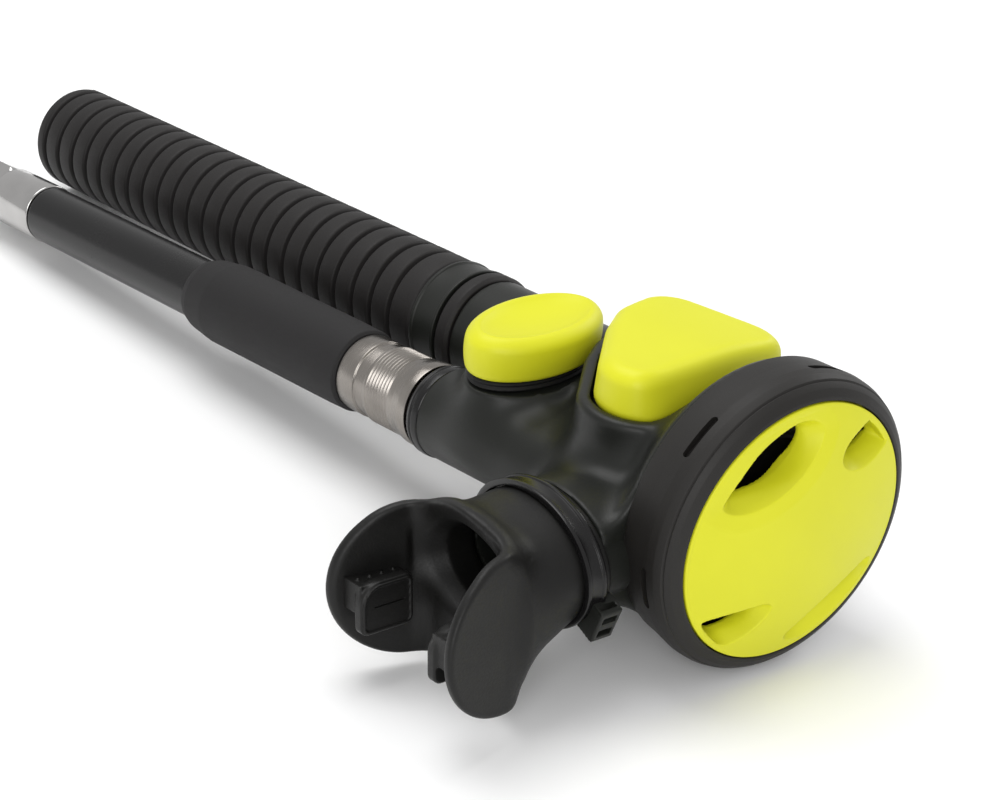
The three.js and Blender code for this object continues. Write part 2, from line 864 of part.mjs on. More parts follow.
// the part of one solid that lies in another
function common(a, b) {
  const { min, max } = a.boundingBox();
  const around = box(
    min[0] - past, max[0] + past,
    min[1] - past, max[1] + past,
    min[2] - past, max[2] + past,
  );
  return cut(a, cut(around, b));
}

// the flange and its lobes in plan: flat over the bore, then bent forward on both sides
function flangePlan() {
  const lean = lobeLean * degrees;
  const back = mouthReach - flangeThick;
  const bendAt = back + flangeBend;
  const wallLength = (lobeReach - bendAt + flangeBend * Math.sin(lean)) / Math.cos(lean);
  const side = (sign, radius, along) => [
    sign * (flangeBendAt + radius * Math.cos(lean) + along * Math.sin(lean)),
    bendAt - radius * Math.sin(lean) + along * Math.cos(lean),
  ];
  const inner = flangeBend - flangeThick;
  const shape = new THREE.Shape();
  const down = -Math.PI / 2;
  shape.absarc(flangeBendAt, bendAt, flangeBend, down, -lean, false);
  shape.lineTo(...side(1, flangeBend, wallLength));
  shape.lineTo(...side(1, inner, wallLength));
  shape.absarc(flangeBendAt, bendAt, inner, -lean, down, true);
  shape.absarc(-flangeBendAt, bendAt, inner, down, Math.PI + lean, true);
  shape.lineTo(...side(-1, inner, wallLength));
  shape.lineTo(...side(-1, flangeBend, wallLength));
  shape.absarc(-flangeBendAt, bendAt, flangeBend, Math.PI + lean, Math.PI - down, false);
  shape.closePath();
  const high = crestHigh + lobeDrop + past;
  return prism(shape, -high, high).rotate([90, 0, 0]);
}

// a lobe as seen from the side: straight from the flange, then round
function lobeOutline() {
  const middle = lobeReach - lobeRound;
  const back = mouthReach - 2 * flangeThick;
  const shape = new THREE.Shape();
  shape.moveTo(back, lobeHalfHigh - lobeDrop);
  shape.lineTo(back, -lobeHalfHigh - lobeDrop);
  shape.absellipse(
    middle, -lobeDrop, lobeRound, lobeHalfHigh, -Math.PI / 2, Math.PI / 2, false,
  );
  shape.closePath();
  const wide = 2 * lobeReach;
  return prism(shape, -wide, wide).rotate([0, -90, 0]);
}

function flangeNotch() {
  const deep = lobeHalfHigh + lobeDrop + past;
  const shape = new THREE.Shape();
  shape.moveTo(0, -notchTop);
  shape.lineTo(-notchHalfWide, -deep);
  shape.lineTo(notchHalfWide, -deep);
  shape.closePath();
  return prism(shape, mouthReach - past, lobeReach + past);
}

function biteTab(side) {
  const across = (from, to) => (side > 0 ? [from, to] : [-to, -from]);
  const tab = (from, to, high) => {
    const [x0, x1] = across(from, to);
    return box(x0, x1, -biteDrop - high / 2, -biteDrop + high / 2, biteFrom, biteTo);
  };
  const wall = flangeBendAt + flangeBend;
  return join(tab(biteOut, biteOut + biteThick, biteHigh), tab(biteOut, wall, biteBridge));
}

// the sleeve's underside, which widens and drops towards the lobes
function sleeveSkirt() {
  const geometry = new THREE.ExtrudeGeometry(ovalShape(rubberHalfWide, rubberHalfHigh), {
    depth: skirt.to - skirt.from,
    bevelEnabled: false,
    curveSegments: 6,
  });
  const places = geometry.attributes.position;
  for (let i = 0; i < places.count; i += 1) {
    if (places.getZ(i) > 0) {
      const high = places.getY(i) * skirt.higher - skirt.drop;
      places.setXY(i, places.getX(i) * skirt.wider, high);
    }
  }
  geometry.translate(0, 0, skirt.from);
  return solid(geometry);
}

function mouthpiece() {
  const sleeveFrom = rootReach + gap;
  const sleeve = prism(
    ovalShape(rubberHalfWide, rubberHalfHigh),
    sleeveFrom,
    mouthReach - flangeThick / 2,
  );
  const crest = prism(ovalShape(crestHalfWide, crestHigh), mouthReach - past, mouthReach + past);
  const flange = cut(common(flangePlan(), join(lobeOutline(), crest)), flangeNotch());
  const rolled = join(flange, biteTab(-1), biteTab(1)).rotate([0, 0, lobeRoll]);
  return cut(
    join(sleeve, sleeveSkirt(), rolled),
    prism(ovalShape(tubeHalfWide + gap, tubeHalfHigh + gap), rootReach, tubeReach + gap),
    prism(ovalShape(mouthBoreWide, mouthBoreHigh), rootReach, mouthReach + flangeThick),
  );
}

function mouthTie() {
  const from = mouthTieAt - mouthTieWidth / 2;
  const to = mouthTieAt + mouthTieWidth / 2;
  const ovalBand = (margin, z0, z1) => prism(
    ovalShape(rubberHalfWide + margin, rubberHalfHigh + margin),
    z0,
    z1,
  );
  const headFrom = rubberHalfWide * tieHead.at;
  const headAt = mouthTieAt - tieHead.back;
  const head = box(
    headFrom, headFrom + tieHead.deep,
    -tieHead.high / 2, tieHead.high / 2,
    headAt - tieHead.wide / 2, headAt + tieHead.wide / 2,
  ).rotate([0, 0, -tieHead.turn]);
  return cut(
    join(ovalBand(gap + mouthTieThick, from, to), head),
    ovalBand(gap, from - past, to + past),
  );
}

// ---------------------------------------------------------------- inflate valve

function inflateButton() {
  const button = prism(
    ovalShape(inflateHalfShort, inflateHalfLong),
    inflateBase,
    inflateTop,
    inflateBevel,
    3,
  );
  const dish = new THREE.SphereGeometry(1, 24, 12);
  dish.scale(inflateHalfShort - inflateRim, inflateHalfLong - inflateRim, inflateDish);
  dish.translate(0, 0, inflateTop);
  const hollow = upright(rod(inflateBase - past, inflateCeiling, buttonHollow));
  return cut(button, solid(dish), hollow);
}

function inflateBoot() {
  const outer = prism(inflateFoot(0), inflateBase - bootHigh + gap, inflateBase - gap);
  return cut(outer, prism(inflateFoot(-bootWall), 0, inflateTop));
}

const sleeveRadius = cartridgeRadius - gap;

function inflateSleeve() {
  const wide = stemRadius + 1.5;
  const narrow = stemRadius + 0.4;
  const sleeve = upright(turnedRing([
    [sleeveBottom, wide],
    [sleeveBottom, sleeveRadius],
    [sleeveTop, sleeveRadius],
    [sleeveTop, narrow],
    [5, narrow],
    [5, wide],
    [3.4, wide],
    [3.4, narrow],
    [1.5, narrow],
    [1.5, wide],
  ]));
  return cut(sleeve, box(-1.2, 1.2, 0, 6, -2.7, 0));
}

const inflateOring = () => upright(torus(4.2, stemRadius + 0.75, 0.45, 16));

const inflateSeat = () => upright(tube(
  inflateSeatBottom,
  sleeveBottom - gap,
  sleeveRadius - 0.8,
  stemRadius + gap,
));

function inflateStem() {
  const headTop = inflateSeatBottom - gap;
  return upright(turned([
    [stemBottom, 0],
    [stemBottom, stemHead.radius],
    [headTop, stemHead.radius],
    [headTop, stemRadius],
    [inflateCeiling - gap, stemRadius],
    [inflateCeiling - gap, 0],
  ]));
}

const inflateSpring = () => upright(
  spring(sleeveTop + gap, inflateCeiling - gap, 2.8, 0.4, 5),
);

// ---------------------------------------------------------------- deflate valve

const deflateCeiling = deflateTop - deflateRoof;
const guideTop = deflateFloor - gap;
const guideBottom = guideTop - deflateGuideThick;
const discBottom = deflateSeat.bottom - 1.5;

function deflateButton() {
  const button = prism(deflateShape(0), deflateBase, deflateTop, deflateBevel, 2);
  const hollow = upright(rod(deflateBase - past, deflateCeiling, deflateHollow));
  return cut(button, onDeflate(hollow));
}

const deflateGuide = () => upright(
  tube(guideBottom, guideTop, deflateBore - gap, poppetStem + gap),
);

const deflateDisc = () => upright(
  tube(discBottom, deflateSeat.bottom - gap, deflateSeat.radius + 1.6, poppetStem + gap),
);

function deflateStem() {
  const headTop = discBottom - gap;
  const headBottom = headTop - deflateHead.high;
  return upright(turned([
    [headBottom, 0],
    [headBottom, deflateHead.radius],
    [headTop, deflateHead.radius],
    [headTop, poppetStem],
    [deflateCeiling - gap, poppetStem],
    [deflateCeiling - gap, 0],
  ]));
}

const deflateSpring = () => upright(
  spring(guideTop + gap, deflateCeiling - gap, 4, 0.5, 5),
);

// ---------------------------------------------------------------- corrugated hose

const hoseEnd = -airPortReach - gap - cuffLength - ribCount * ribPitch;

function ribbedTube(from, bore) {
  const rings = [[from, hoseRadius - ribHeight]];
  for (let i = 0; i < ribCount; i += 1) {
    const start = from - i * ribPitch;
    rings.push([start - ribPitch / 2, hoseRadius]);
    rings.push([start - ribPitch, hoseRadius - ribHeight]);
  }
  for (let i = ribCount; i > 0; i -= ribsPerBoreRing) rings.push([from - i * ribPitch, bore]);
  rings.push([from, bore]);
  const points = [];
  const corners = [];
  rings.forEach(([x, r], k) => {
    const next = (k + 1) % rings.length;
    for (let i = 0; i < hosePoints; i += 1) {
      const angle = (i / hosePoints) * 2 * Math.PI;
      points.push(x, r * Math.sin(angle), -r * Math.cos(angle));
      const [a, b] = [k * hosePoints + i, k * hosePoints + ((i + 1) % hosePoints)];
      const [c, d] = [next * hosePoints + i, next * hosePoints + ((i + 1) % hosePoints)];
      corners.push(a, c, b, b, c, d);
    }
  });
  const geometry = new THREE.BufferGeometry();
  geometry.setAttribute('position', new THREE.Float32BufferAttribute(points, 3));
  geometry.setIndex(corners);
  return solid(geometry);
}

function corrugatedHose() {
  const start = -airPortReach - gap;
  const ribsFrom = start - cuffLength;
  const bore = barbRadius + gap;
  const tieSeat = hoseTie.wide / 2 + gap;
  const beadFrom = cuffBead.at + cuffBead.wide / 2;
  const beadTo = cuffBead.at - cuffBead.wide / 2;
  const cuff = turnedRing([
    [start, bore],
    [start, cuffRadius],
    [beadFrom, cuffRadius],
    [beadFrom - cuffBead.slope, cuffRadius + cuffBead.high],
    [beadTo + cuffBead.slope, cuffRadius + cuffBead.high],
    [beadTo, cuffRadius],
    [hoseTie.at + tieSeat, cuffRadius - tieSink],
    [hoseTie.at - tieSeat, cuffRadius - tieSink],
    [hoseTie.at - tieSeat - 1, hoseRadius - gap],
    [ribsFrom - gap, hoseRadius - gap],
    [ribsFrom - gap, bore],
  ], 24);
  return join(cuff, ribbedTube(ribsFrom, hoseRadius - ribHeight - hoseWall));
}

function hoseTieBand() {
  const inner = cuffRadius - tieSink + gap;
  const from = hoseTie.at - hoseTie.wide / 2;
  const to = hoseTie.at + hoseTie.wide / 2;
  const band = tube(from, to, inner + hoseTie.thick, inner, round);
  const lock = box(
    from, to,
    -tieLock.half, tieLock.half,
    -inner - tieLock.to, -inner - tieLock.from,
  );
  return cut(join(band, lock), rod(from - past, to + past, inner, round));
}

// ---------------------------------------------------------------- quick coupling

const nippleFrom = -lpPortReach - gap;
const nippleEnd = nippleFrom - nippleLength;
const oringGroove = nippleEnd + 4.2; // middle of the O-ring
const couplerBore = nippleRadius + gap;
const ballPath = nippleRadius - nippleGroove + gap + ballRadius;
const collarLipFrom = ballAt - couplerStep - collarLip.gap;
const collarLipTo = collarLipFrom - collarLip.thick;
const springEnd = nearFerruleFrom + chamberLength;
const checkFront = bandFrom - checkSeat.back - checkSeat.thick;

function qdNipple() {
  const ballGroove = ballRadius + 0.2;
  const hexBack = nippleFrom - nippleHex.thick;
  const groove = nippleRadius - nippleGroove;
  return turnedRing([
    [nippleFrom + nippleInto, passageRadius],
    [nippleFrom + nippleInto, nippleThread],
    [nippleFrom, nippleThread],
    [nippleFrom, nippleHex.radius],
    [hexBack, nippleHex.radius],
    [hexBack, nippleRadius],
    [ballAt + ballGroove, nippleRadius],
    [ballAt + ballGroove - gap, groove],
    [ballAt - ballGroove + gap, groove],
    [ballAt - ballGroove, nippleRadius],
    [oringGroove + 0.8, nippleRadius],
    [oringGroove + 0.8, groove],
    [oringGroove - 0.8, groove],
    [oringGroove - 0.8, nippleRadius],
    [nippleEnd, nippleRadius - gap],
    [nippleEnd, passageRadius],
  ]);
}

const nippleOring = () => torus(oringGroove, nippleRadius - 0.45, 0.45);

function qdCoupler() {
  const socketEnd = bandFrom - checkSeat.back;
  const tailEnd = nearFerruleFrom - ferruleLength + 1;
  const shell = turnedRing([
    [couplerFront, couplerBore],
    [couplerFront, couplerRadius],
    [ballAt - couplerStep, couplerRadius],
    [ballAt - couplerStep, couplerNeck],
    [bandFrom, couplerNeck],
    [bandFrom, bandRadius],
    [bandTo, bandRadius],
    [bandTo, couplerTail],
    [nearFerruleFrom + gap, couplerTail],
    [nearFerruleFrom + gap, tailRadius],
    [tailEnd, tailRadius],
    [tailEnd, passageRadius],
    [springEnd, passageRadius],
    [springEnd, springChamber],
    [checkFront, springChamber],
    [checkFront, checkSeat.bore],
    [socketEnd, checkSeat.bore],
    [socketEnd, couplerBore],
  ]);
  const holes = [];
  for (let i = 0; i < ballCount; i += 1) {
    const hole = moved(upright(rod(0, couplerRadius + past, ballRadius + gap)), ballAt, 0, 0);
    holes.push(hole.rotate([(360 / ballCount) * i, 0, 0]));
  }
  return cut(shell, ...holes);
}

function lockingBall(index) {
  const geometry = new THREE.SphereGeometry(ballRadius, 10, 6);
  geometry.translate(ballAt, 0, ballPath);
  return solid(geometry).rotate([(360 / ballCount) * index, 0, 0]);
}

function qdCollar() {
  const land = couplerRadius + gap;
  const grooveFrom = collarFrom - collarTaper - 2.5;
  const profile = [
    [collarFrom, collarFlare - 0.9],
    [collarFrom, collarFlare],
    [collarFrom - collarTaper / 2, collarFlare],
    [collarFrom - collarTaper, collarRadius],
  ];
  for (let i = 0; i < collarGrooves; i += 1) {
    const at = grooveFrom - i * groovePitch;
    profile.push([at, collarRadius - gap], [at - groovePitch / 2, collarRadius]);
  }
  profile.push(
    [collarTo, collarRadius],
    [collarTo, land],
    [collarLipTo, land],
    [collarLipTo, couplerNeck + gap],
    [collarLipFrom, couplerNeck + gap],
    [collarLipFrom, land],
    [ballAt + ballRadius + 2 * gap, land],
    [ballAt + ballRadius + 4 * gap, collarFlare - 0.9],
  );
  return turnedRing(profile);
}

const collarSpring = () => spring(
  bandFrom + gap,
  collarLipTo - gap,
  couplerNeck + 1.05,
  0.35,
  4,
);

function checkPin() {
  const headBack = checkFront - checkHead.thick;
  return turned([
    [nippleEnd - gap, 0],
    [nippleEnd - gap, checkStem],
    [checkFront - gap, checkStem],
    [checkFront - gap, checkHead.radius],
    [headBack, checkHead.radius],
    [headBack, checkStem],
    [headBack - checkHead.thick, checkStem],
    [headBack - checkHead.thick, 0],
  ]);
}

const checkSpring = () => spring(
  springEnd + gap,
  checkFront - checkHead.thick - gap,
  2.4,
  0.35,
  3,
);

// ---------------------------------------------------------------- low-pressure hose

const hoseFrom = nearFerruleFrom - ferruleLength - gap;
const hoseTo = hoseFrom - lpHoseLength;
const farFerruleFrom = hoseTo - gap;
const hexFrom = farFerruleFrom - ferruleLength - gap;
const hexTo = hexFrom - hexLength;
const threadFrom = hexTo - fittingGroove.long;
const fittingEnd = threadFrom - threadLength;

const nearFerrule = () => tube(
  nearFerruleFrom - ferruleLength,
  nearFerruleFrom,
  ferruleRadius,
  tailRadius + gap,
);

function hoseProtector() {
  const from = bandTo - gap;
  const to = from - protectorLength;
  const wide = protectorRadius - protectorWall;
  const narrow = lpHoseRadius + gap;
  return turnedRing([
    [from, couplerTail + gap],
    [from, protectorRadius - 0.9],
    [from - 1.2, protectorRadius],
    [to + 8, protectorRadius],
    [to + 3, protectorRadius - 0.6],
    [to, lpHoseRadius + 1.2],
    [to, narrow],
    [hoseFrom - 3, narrow],
    [hoseFrom - 1, wide],
    [nearFerruleFrom + 1, wide],
    [nearFerruleFrom + 2, couplerTail + gap],
  ], 24);
}

function lpHose() {
  const section = new THREE.Shape();
  section.absarc(0, 0, lpHoseRadius, 0, 2 * Math.PI);
  const steps = Math.round(lpHoseLength / (2.5 * 2 * lpHoseRadius));
  const path = new THREE.LineCurve3(
    new THREE.Vector3(hoseFrom, 0, 0),
    new THREE.Vector3(hoseTo, 0, 0),
  );
  const geometry = new THREE.ExtrudeGeometry(section, {
    steps,
    curveSegments: 6,
    extrudePath: path,
    bevelEnabled: false,
  });
  return solid(geometry);
}

const farFerrule = () => tube(
  farFerruleFrom - ferruleLength,
  farFerruleFrom,
  ferruleRadius,
  tailRadius + gap,
);

function lpFitting() {
  const hexRadius = fittingHex / Math.sqrt(3);
  const groove = threadRadius - fittingGroove.deep;
  const relief = rod(hexTo - past, hexTo + shoulderRelief.deep, threadRadius + shoulderRelief.margin);
  const turnedPart = turnedRing([
    [farFerruleFrom - gap, passageRadius],
    [farFerruleFrom - gap, tailRadius],
    [hexTo + 2 * shoulderRelief.deep, tailRadius],
    [hexTo + 2 * shoulderRelief.deep, groove],
    [threadFrom, groove],
    [threadFrom, threadRadius],
    [fittingEnd + 0.8, threadRadius],
    [fittingEnd, threadRadius - 0.8],
    [fittingEnd, passageRadius],
  ]);
  const hex = cut(
    rod(hexTo, hexFrom, hexRadius, 6),
    rod(hexTo - past, hexFrom + past, (groove + passageRadius) / 2),
    relief,
  );
  return join(turnedPart, hex);
}

const fittingOring = () => torus(hexTo - 1.2, threadRadius - 0.3, 0.5);

// ---------------------------------------------------------------- assembly

const regulator = new THREE.Group();

function place(group, name, manifold, look) {
  const mesh = new THREE.Mesh(geometryOf(manifold), look);
  mesh.name = name;
  group.add(mesh);
}

function portGroup(offset, yaw, droop) {
  const group = new THREE.Group();
  group.position.set(portPlane, offset.y, offset.z);
  group.rotation.order = 'ZYX';
  group.rotation.set(0, -droop * degrees, yaw * degrees);
  regulator.add(group);
  return group;
}

function buildCase() {
  const group = new THREE.Group();
  regulator.add(group);
  place(group, 'body_shell', bodyShell(), blackPlastic());
  place(group, 'cover_ring', coverRing(), blackPlastic());
  place(group, 'purge_cover', purgeCover(), yellowPlastic());
  place(group, 'diaphragm', diaphragm(), clearSilicone());
  place(group, 'diaphragm_plate', diaphragmPlate(), steel());
  place(group, 'deflate_button', deflateButton(), yellowPlastic());
}

function buildExhaust() {
  const group = new THREE.Group();
  group.position.set(exhaust.x, exhaust.y, 0);
  regulator.add(group);
  place(group, 'exhaust_valve', exhaustValve(), clearSilicone());
  place(group, 'exhaust_cover', exhaustCover(), blackPlastic());
}

function buildMouthpiece() {
  const group = new THREE.Group();
  group.position.set(tubeX, 0, tubeZ);
  group.rotation.set(Math.PI / 2, 0, 0);
  regulator.add(group);
  place(group, 'mouthpiece', mouthpiece(), silicone());
  place(group, 'mouthpiece_tie', mouthTie(), blackPlastic());
}

function buildInflate() {
  const group = new THREE.Group();
  group.position.set(inflate.x, inflate.y, 0);
  group.rotation.set(0, 0, inflate.turn * degrees);
  regulator.add(group);
  place(group, 'inflate_button', inflateButton(), yellowPlastic());
  place(group, 'inflate_boot', inflateBoot(), blackRubber());
  place(group, 'inflate_stem', inflateStem(), steel());
  place(group, 'inflate_spring', inflateSpring(), steel());
  place(group, 'inflate_sleeve', inflateSleeve(), brass());
  place(group, 'inflate_stem_oring', inflateOring(), blackRubber());
  place(group, 'inflate_seat', inflateSeat(), blackRubber());
}

function buildDeflate() {
  const group = new THREE.Group();
  group.position.set(deflateValve.x, deflateValve.y, 0);
  regulator.add(group);
  place(group, 'deflate_stem', deflateStem(), steel());
  place(group, 'deflate_spring', deflateSpring(), steel());
  place(group, 'deflate_guide', deflateGuide(), blackPlastic());
  place(group, 'deflate_disc', deflateDisc(), clearSilicone());
}

function buildCorrugatedHose() {
  const group = portGroup(airOffset, airYaw, airDroop);
  place(group, 'corrugated_hose', corrugatedHose(), blackRubber());
  place(group, 'hose_tie', hoseTieBand(), blackPlastic());
}

function buildPressureSide() {
  const group = portGroup(lpOffset, lpYaw, lpDroop);
  place(group, 'valve_barrel', valveBarrel(), brass());
  place(group, 'valve_orifice', valveOrifice(), steel());
  place(group, 'orifice_oring', orificeOring(), blackRubber());
  place(group, 'poppet', poppet(), steel());
  place(group, 'poppet_seat', poppetSeat(), blackRubber());
  place(group, 'poppet_spring', poppetSpring(), steel());
  place(group, 'lever_nut', leverNut(), steel());
  place(group, 'demand_lever', demandLever(), steel());
  place(group, 'qd_nipple', qdNipple(), steel());
  place(group, 'nipple_oring', nippleOring(), blackRubber());
  place(group, 'qd_coupler', qdCoupler(), steel());
  place(group, 'qd_collar', qdCollar(), steel());
  place(group, 'collar_spring', collarSpring(), steel());
  for (let i = 0; i < ballCount; i += 1) {
    place(group, `locking_ball_${i + 1}`, lockingBall(i), steel());
  }
  place(group, 'check_pin', checkPin(), brass());
  place(group, 'check_spring', checkSpring(), steel());
  place(group, 'hose_ferrule_near', nearFerrule(), steel());
  place(group, 'hose_protector', hoseProtector(), blackRubber());
  place(group, 'lp_hose', lpHose(), glossRubber());
  place(group, 'hose_ferrule_far', farFerrule(), steel());
  place(group, 'lp_fitting', lpFitting(), steel());
  place(group, 'fitting_oring', fittingOring(), blackRubber());
}

buildCase();
buildExhaust();
buildMouthpiece();
buildInflate();
buildDeflate();
buildCorrugatedHose();
buildPressureSide();

// the origin is under the middle of the object without its free hoses
const freeHoses = [
  'corrugated_hose', 'hose_tie', 'lp_hose', 'hose_ferrule_far', 'lp_fitting', 'fitting_oring',
];

function baseOf(group) {
  const bounds = new THREE.Box3();
  const point = new THREE.Vector3();
  group.updateMatrixWorld(true);
  group.traverse((mesh) => {
    if (!mesh.isMesh || freeHoses.includes(mesh.name)) return;
    const position = mesh.geometry.attributes.position;
    for (let i = 0; i < position.count; i += 1) {
      bounds.expandByPoint(point.fromBufferAttribute(position, i).applyMatrix4(mesh.matrixWorld));
    }
  });
  const middle = bounds.getCenter(new THREE.Vector3());
  return new THREE.Vector3(middle.x, middle.y, bounds.min.z);
}

regulator.position.copy(baseOf(regulator).negate());

export default regulator;
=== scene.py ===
import math

import bpy
import numpy as np
from mathutils import Euler, Matrix, Vector


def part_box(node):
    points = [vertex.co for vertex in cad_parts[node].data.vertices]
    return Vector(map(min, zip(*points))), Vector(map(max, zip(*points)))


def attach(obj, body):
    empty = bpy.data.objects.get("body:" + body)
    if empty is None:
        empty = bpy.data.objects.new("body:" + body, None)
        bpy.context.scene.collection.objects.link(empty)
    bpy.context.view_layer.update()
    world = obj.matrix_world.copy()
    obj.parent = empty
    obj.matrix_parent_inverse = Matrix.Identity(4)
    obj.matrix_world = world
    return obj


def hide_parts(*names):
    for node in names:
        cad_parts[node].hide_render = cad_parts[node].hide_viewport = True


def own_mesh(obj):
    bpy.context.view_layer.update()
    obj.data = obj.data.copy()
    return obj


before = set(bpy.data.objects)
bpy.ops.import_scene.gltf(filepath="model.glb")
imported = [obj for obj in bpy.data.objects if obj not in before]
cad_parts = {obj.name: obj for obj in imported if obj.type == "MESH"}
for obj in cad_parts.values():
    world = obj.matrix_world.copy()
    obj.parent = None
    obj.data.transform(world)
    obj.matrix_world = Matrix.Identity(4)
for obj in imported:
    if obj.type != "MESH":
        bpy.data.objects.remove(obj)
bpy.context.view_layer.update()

mm = 0.001
ringLow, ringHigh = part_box("cover_ring")
ringMiddle = (Vector(ringLow) + Vector(ringHigh)) / 2
caseOrigin = Vector((ringHigh[0], ringMiddle.y, ringMiddle.z))
caseFrame = Matrix.Translation(caseOrigin)
tau = 2 * math.pi


# a frame inside the case's frame: its origin and its turns in degrees
def framed(place, roll=0.0, pitch=0.0, yaw=0.0):
    turn = Euler([math.radians(angle) for angle in (roll, pitch, yaw)], "XYZ")
    return caseFrame @ Matrix.Translation(Vector(place) * mm) @ turn.to_matrix().to_4x4()


# where the axes of the ports, the mouthpiece and the valves start; turns in degrees
places = {
    "air": (-55, 11, -2.1), "airYaw": 3.55, "airDroop": 4.0,
    "lp": (-55, -18.9, -5.9), "lpYaw": 4.7, "lpDroop": 4.3,
    "mouth": (-27, 0, -6), "mouthRoll": 90,
    "inflate": (-73.3, -10.9, 0), "inflateYaw": 8.6,
    "deflate": (-41.5, 4, 0), "exhaust": (-29.5, 5, 0),
}
airFrame = framed(places["air"], 0, -places["airDroop"], places["airYaw"])
lpFrame = framed(places["lp"], 0, -places["lpDroop"], places["lpYaw"])
mouthFrame = framed(places["mouth"], places["mouthRoll"])
inflateFrame = framed(places["inflate"], 0, 0, places["inflateYaw"])


def linked(name, data):
    made = bpy.data.objects.new(name, data)
    bpy.context.collection.objects.link(made)
    return made


print("camera, floor and light")
# fitted to the photograph: lens and sensor in millimetres, place from the case
shot = {
    "lens": 87.84, "sensor": 36, "clip": (0.01, 20), "place": (291.82, -314.06, 239.04),
    "right": (0.59506, 0.79975, 0.0794), "up": (-0.40658, 0.21434, 0.88812),
}


def makeCamera():
    data = bpy.data.cameras.new("camera")
    data.lens = shot["lens"]
    data.sensor_width = shot["sensor"]
    data.clip_start, data.clip_end = shot["clip"]
    camera = linked("camera", data)
    right = Vector(shot["right"]).normalized()
    up = Vector(shot["up"])
    up = (up - right * up.dot(right)).normalized()
    turn = Matrix((right, up, right.cross(up))).transposed().to_4x4()
    camera.matrix_world = Matrix.Translation(caseOrigin + Vector(shot["place"]) * mm) @ turn
    bpy.context.scene.camera = camera


studio = {
    "floorSize": 4.0, "floorDrop": 0.0004, "floorColour": (0.95, 0.95, 0.95),
    "floorRough": 0.9, "sky": (1, 1, 1), "skyStrength": 0.66,
    # place in metres from the case, size, watts
    "lamps": [((-0.35, -0.1, 0.95), 0.7, 5.5), ((0.75, -0.75, 0.5), 0.6, 5),
              ((-0.2, 0.95, 0.5), 0.4, 2)],
}


def makeStudio():
    bpy.ops.mesh.primitive_plane_add(size=studio["floorSize"],
                                     location=(0, 0, -studio["floorDrop"]))
    floor = bpy.context.object
    floor.name = "studio_floor"
    paper = bpy.data.materials.new("studio_paper")
    paper.use_nodes = True
    shader = paper.node_tree.nodes["Principled BSDF"]
    shader.inputs["Base Color"].default_value = (*studio["floorColour"], 1)
    shader.inputs["Roughness"].default_value = studio["floorRough"]
    floor.data.materials.append(paper)
    world = bpy.data.worlds.new("studio_sky")
    world.use_nodes = True
    sky = world.node_tree.nodes["Background"]
    sky.inputs["Color"].default_value = (*studio["sky"], 1)
    sky.inputs["Strength"].default_value = studio["skyStrength"]
    bpy.context.scene.world = world
    for index, (place, size, power) in enumerate(studio["lamps"]):
        data = bpy.data.lights.new(f"softbox_{index + 1}", "AREA")
        data.size = size
        data.energy = power
        lamp = linked(data.name, data)
        place = caseOrigin + Vector(place)
        aim = (caseOrigin - place).to_track_quat("-Z", "Y").to_matrix().to_4x4()
        lamp.matrix_world = Matrix.Translation(place) @ aim


makeCamera()
makeStudio()
bpy.context.scene.view_settings.view_transform = "Standard"


# a socket that adds its Math nodes when it is used in an expression
class Amount:
    def __init__(self, tree, socket):
        self.tree = tree
        self.socket = socket

    def math(self, operation, *values):
        node = self.tree.nodes.new("ShaderNodeMath")
        node.operation = operation
        for slot, value in zip(node.inputs, values):
            if isinstance(value, Amount):
                self.tree.links.new(value.socket, slot)
            else:
                slot.default_value = value
        return Amount(self.tree, node.outputs[0])

    def __add__(self, other):
        return self.math("ADD", self, other)

    def __radd__(self, other):
        return self.math("ADD", other, self)

    def __mul__(self, other):
        return self.math("MULTIPLY", self, other)

    def __rmul__(self, other):
        return self.math("MULTIPLY", other, self)


class Finish:
    def __init__(self, name, **surface):
        self.material = bpy.data.materials.new(name)
        self.material.use_nodes = True
        self.tree = self.material.node_tree
        self.shader = self.tree.nodes["Principled BSDF"]
        for label, value in surface.items():
            socket = self.shader.inputs[label.replace("_", " ")]
            socket.default_value = (*value, 1) if isinstance(value, tuple) else value
        place = self.node("ShaderNodeTexCoord", {}, {}, "Object")
        self.place = self.node("ShaderNodeVectorMath", {"operation": "SCALE"},
                               {0: place, "Scale": 1 / mm})

    # a node by type: its settings first, then values or links for its sockets
    def node(self, kind, settings, sockets, output=0):
        node = self.tree.nodes.new(kind)
        for label, value in settings.items():
            setattr(node, label, value)
        for label, value in sockets.items():
            if isinstance(value, Amount):
                self.tree.links.new(value.socket, node.inputs[label])
            else:
                node.inputs[label].default_value = value
        return Amount(self.tree, node.outputs[output])

    # noise from 0 to 1 with features of about that many millimetres
    def noise(self, size, detail, stretch=(1, 1, 1), rough=0.5):
        place = self.node("ShaderNodeVectorMath", {"operation": "MULTIPLY"},
                          {0: self.place, 1: stretch})
        return self.node("ShaderNodeTexNoise", {},
                         {"Vector": place, "Scale": 1 / size, "Detail": detail,
                          "Roughness": rough}, "Fac")

    def mixed(self, amount, first, second):
        # a colour mix has its two colours at sockets 6 and 7, and its result at output 2
        return self.node("ShaderNodeMix", {"data_type": "RGBA"},
                         {"Factor": amount, 6: (*first, 1), 7: (*second, 1)}, 2)

    def clamped(self, value, low, high, toLow, toHigh):
        return self.node("ShaderNodeMapRange", {"clamp": True},
                         {"Value": value, "From Min": low, "From Max": high,
                          "To Min": toLow, "To Max": toHigh})

    def drive(self, label, value):
        self.tree.links.new(value.socket, self.shader.inputs[label])

    def bump(self, height, depth):
        self.drive("Normal", self.node("ShaderNodeBump", {},
                                       {"Height": height, "Distance": depth * mm,
                                        "Strength": 1}, "Normal"))


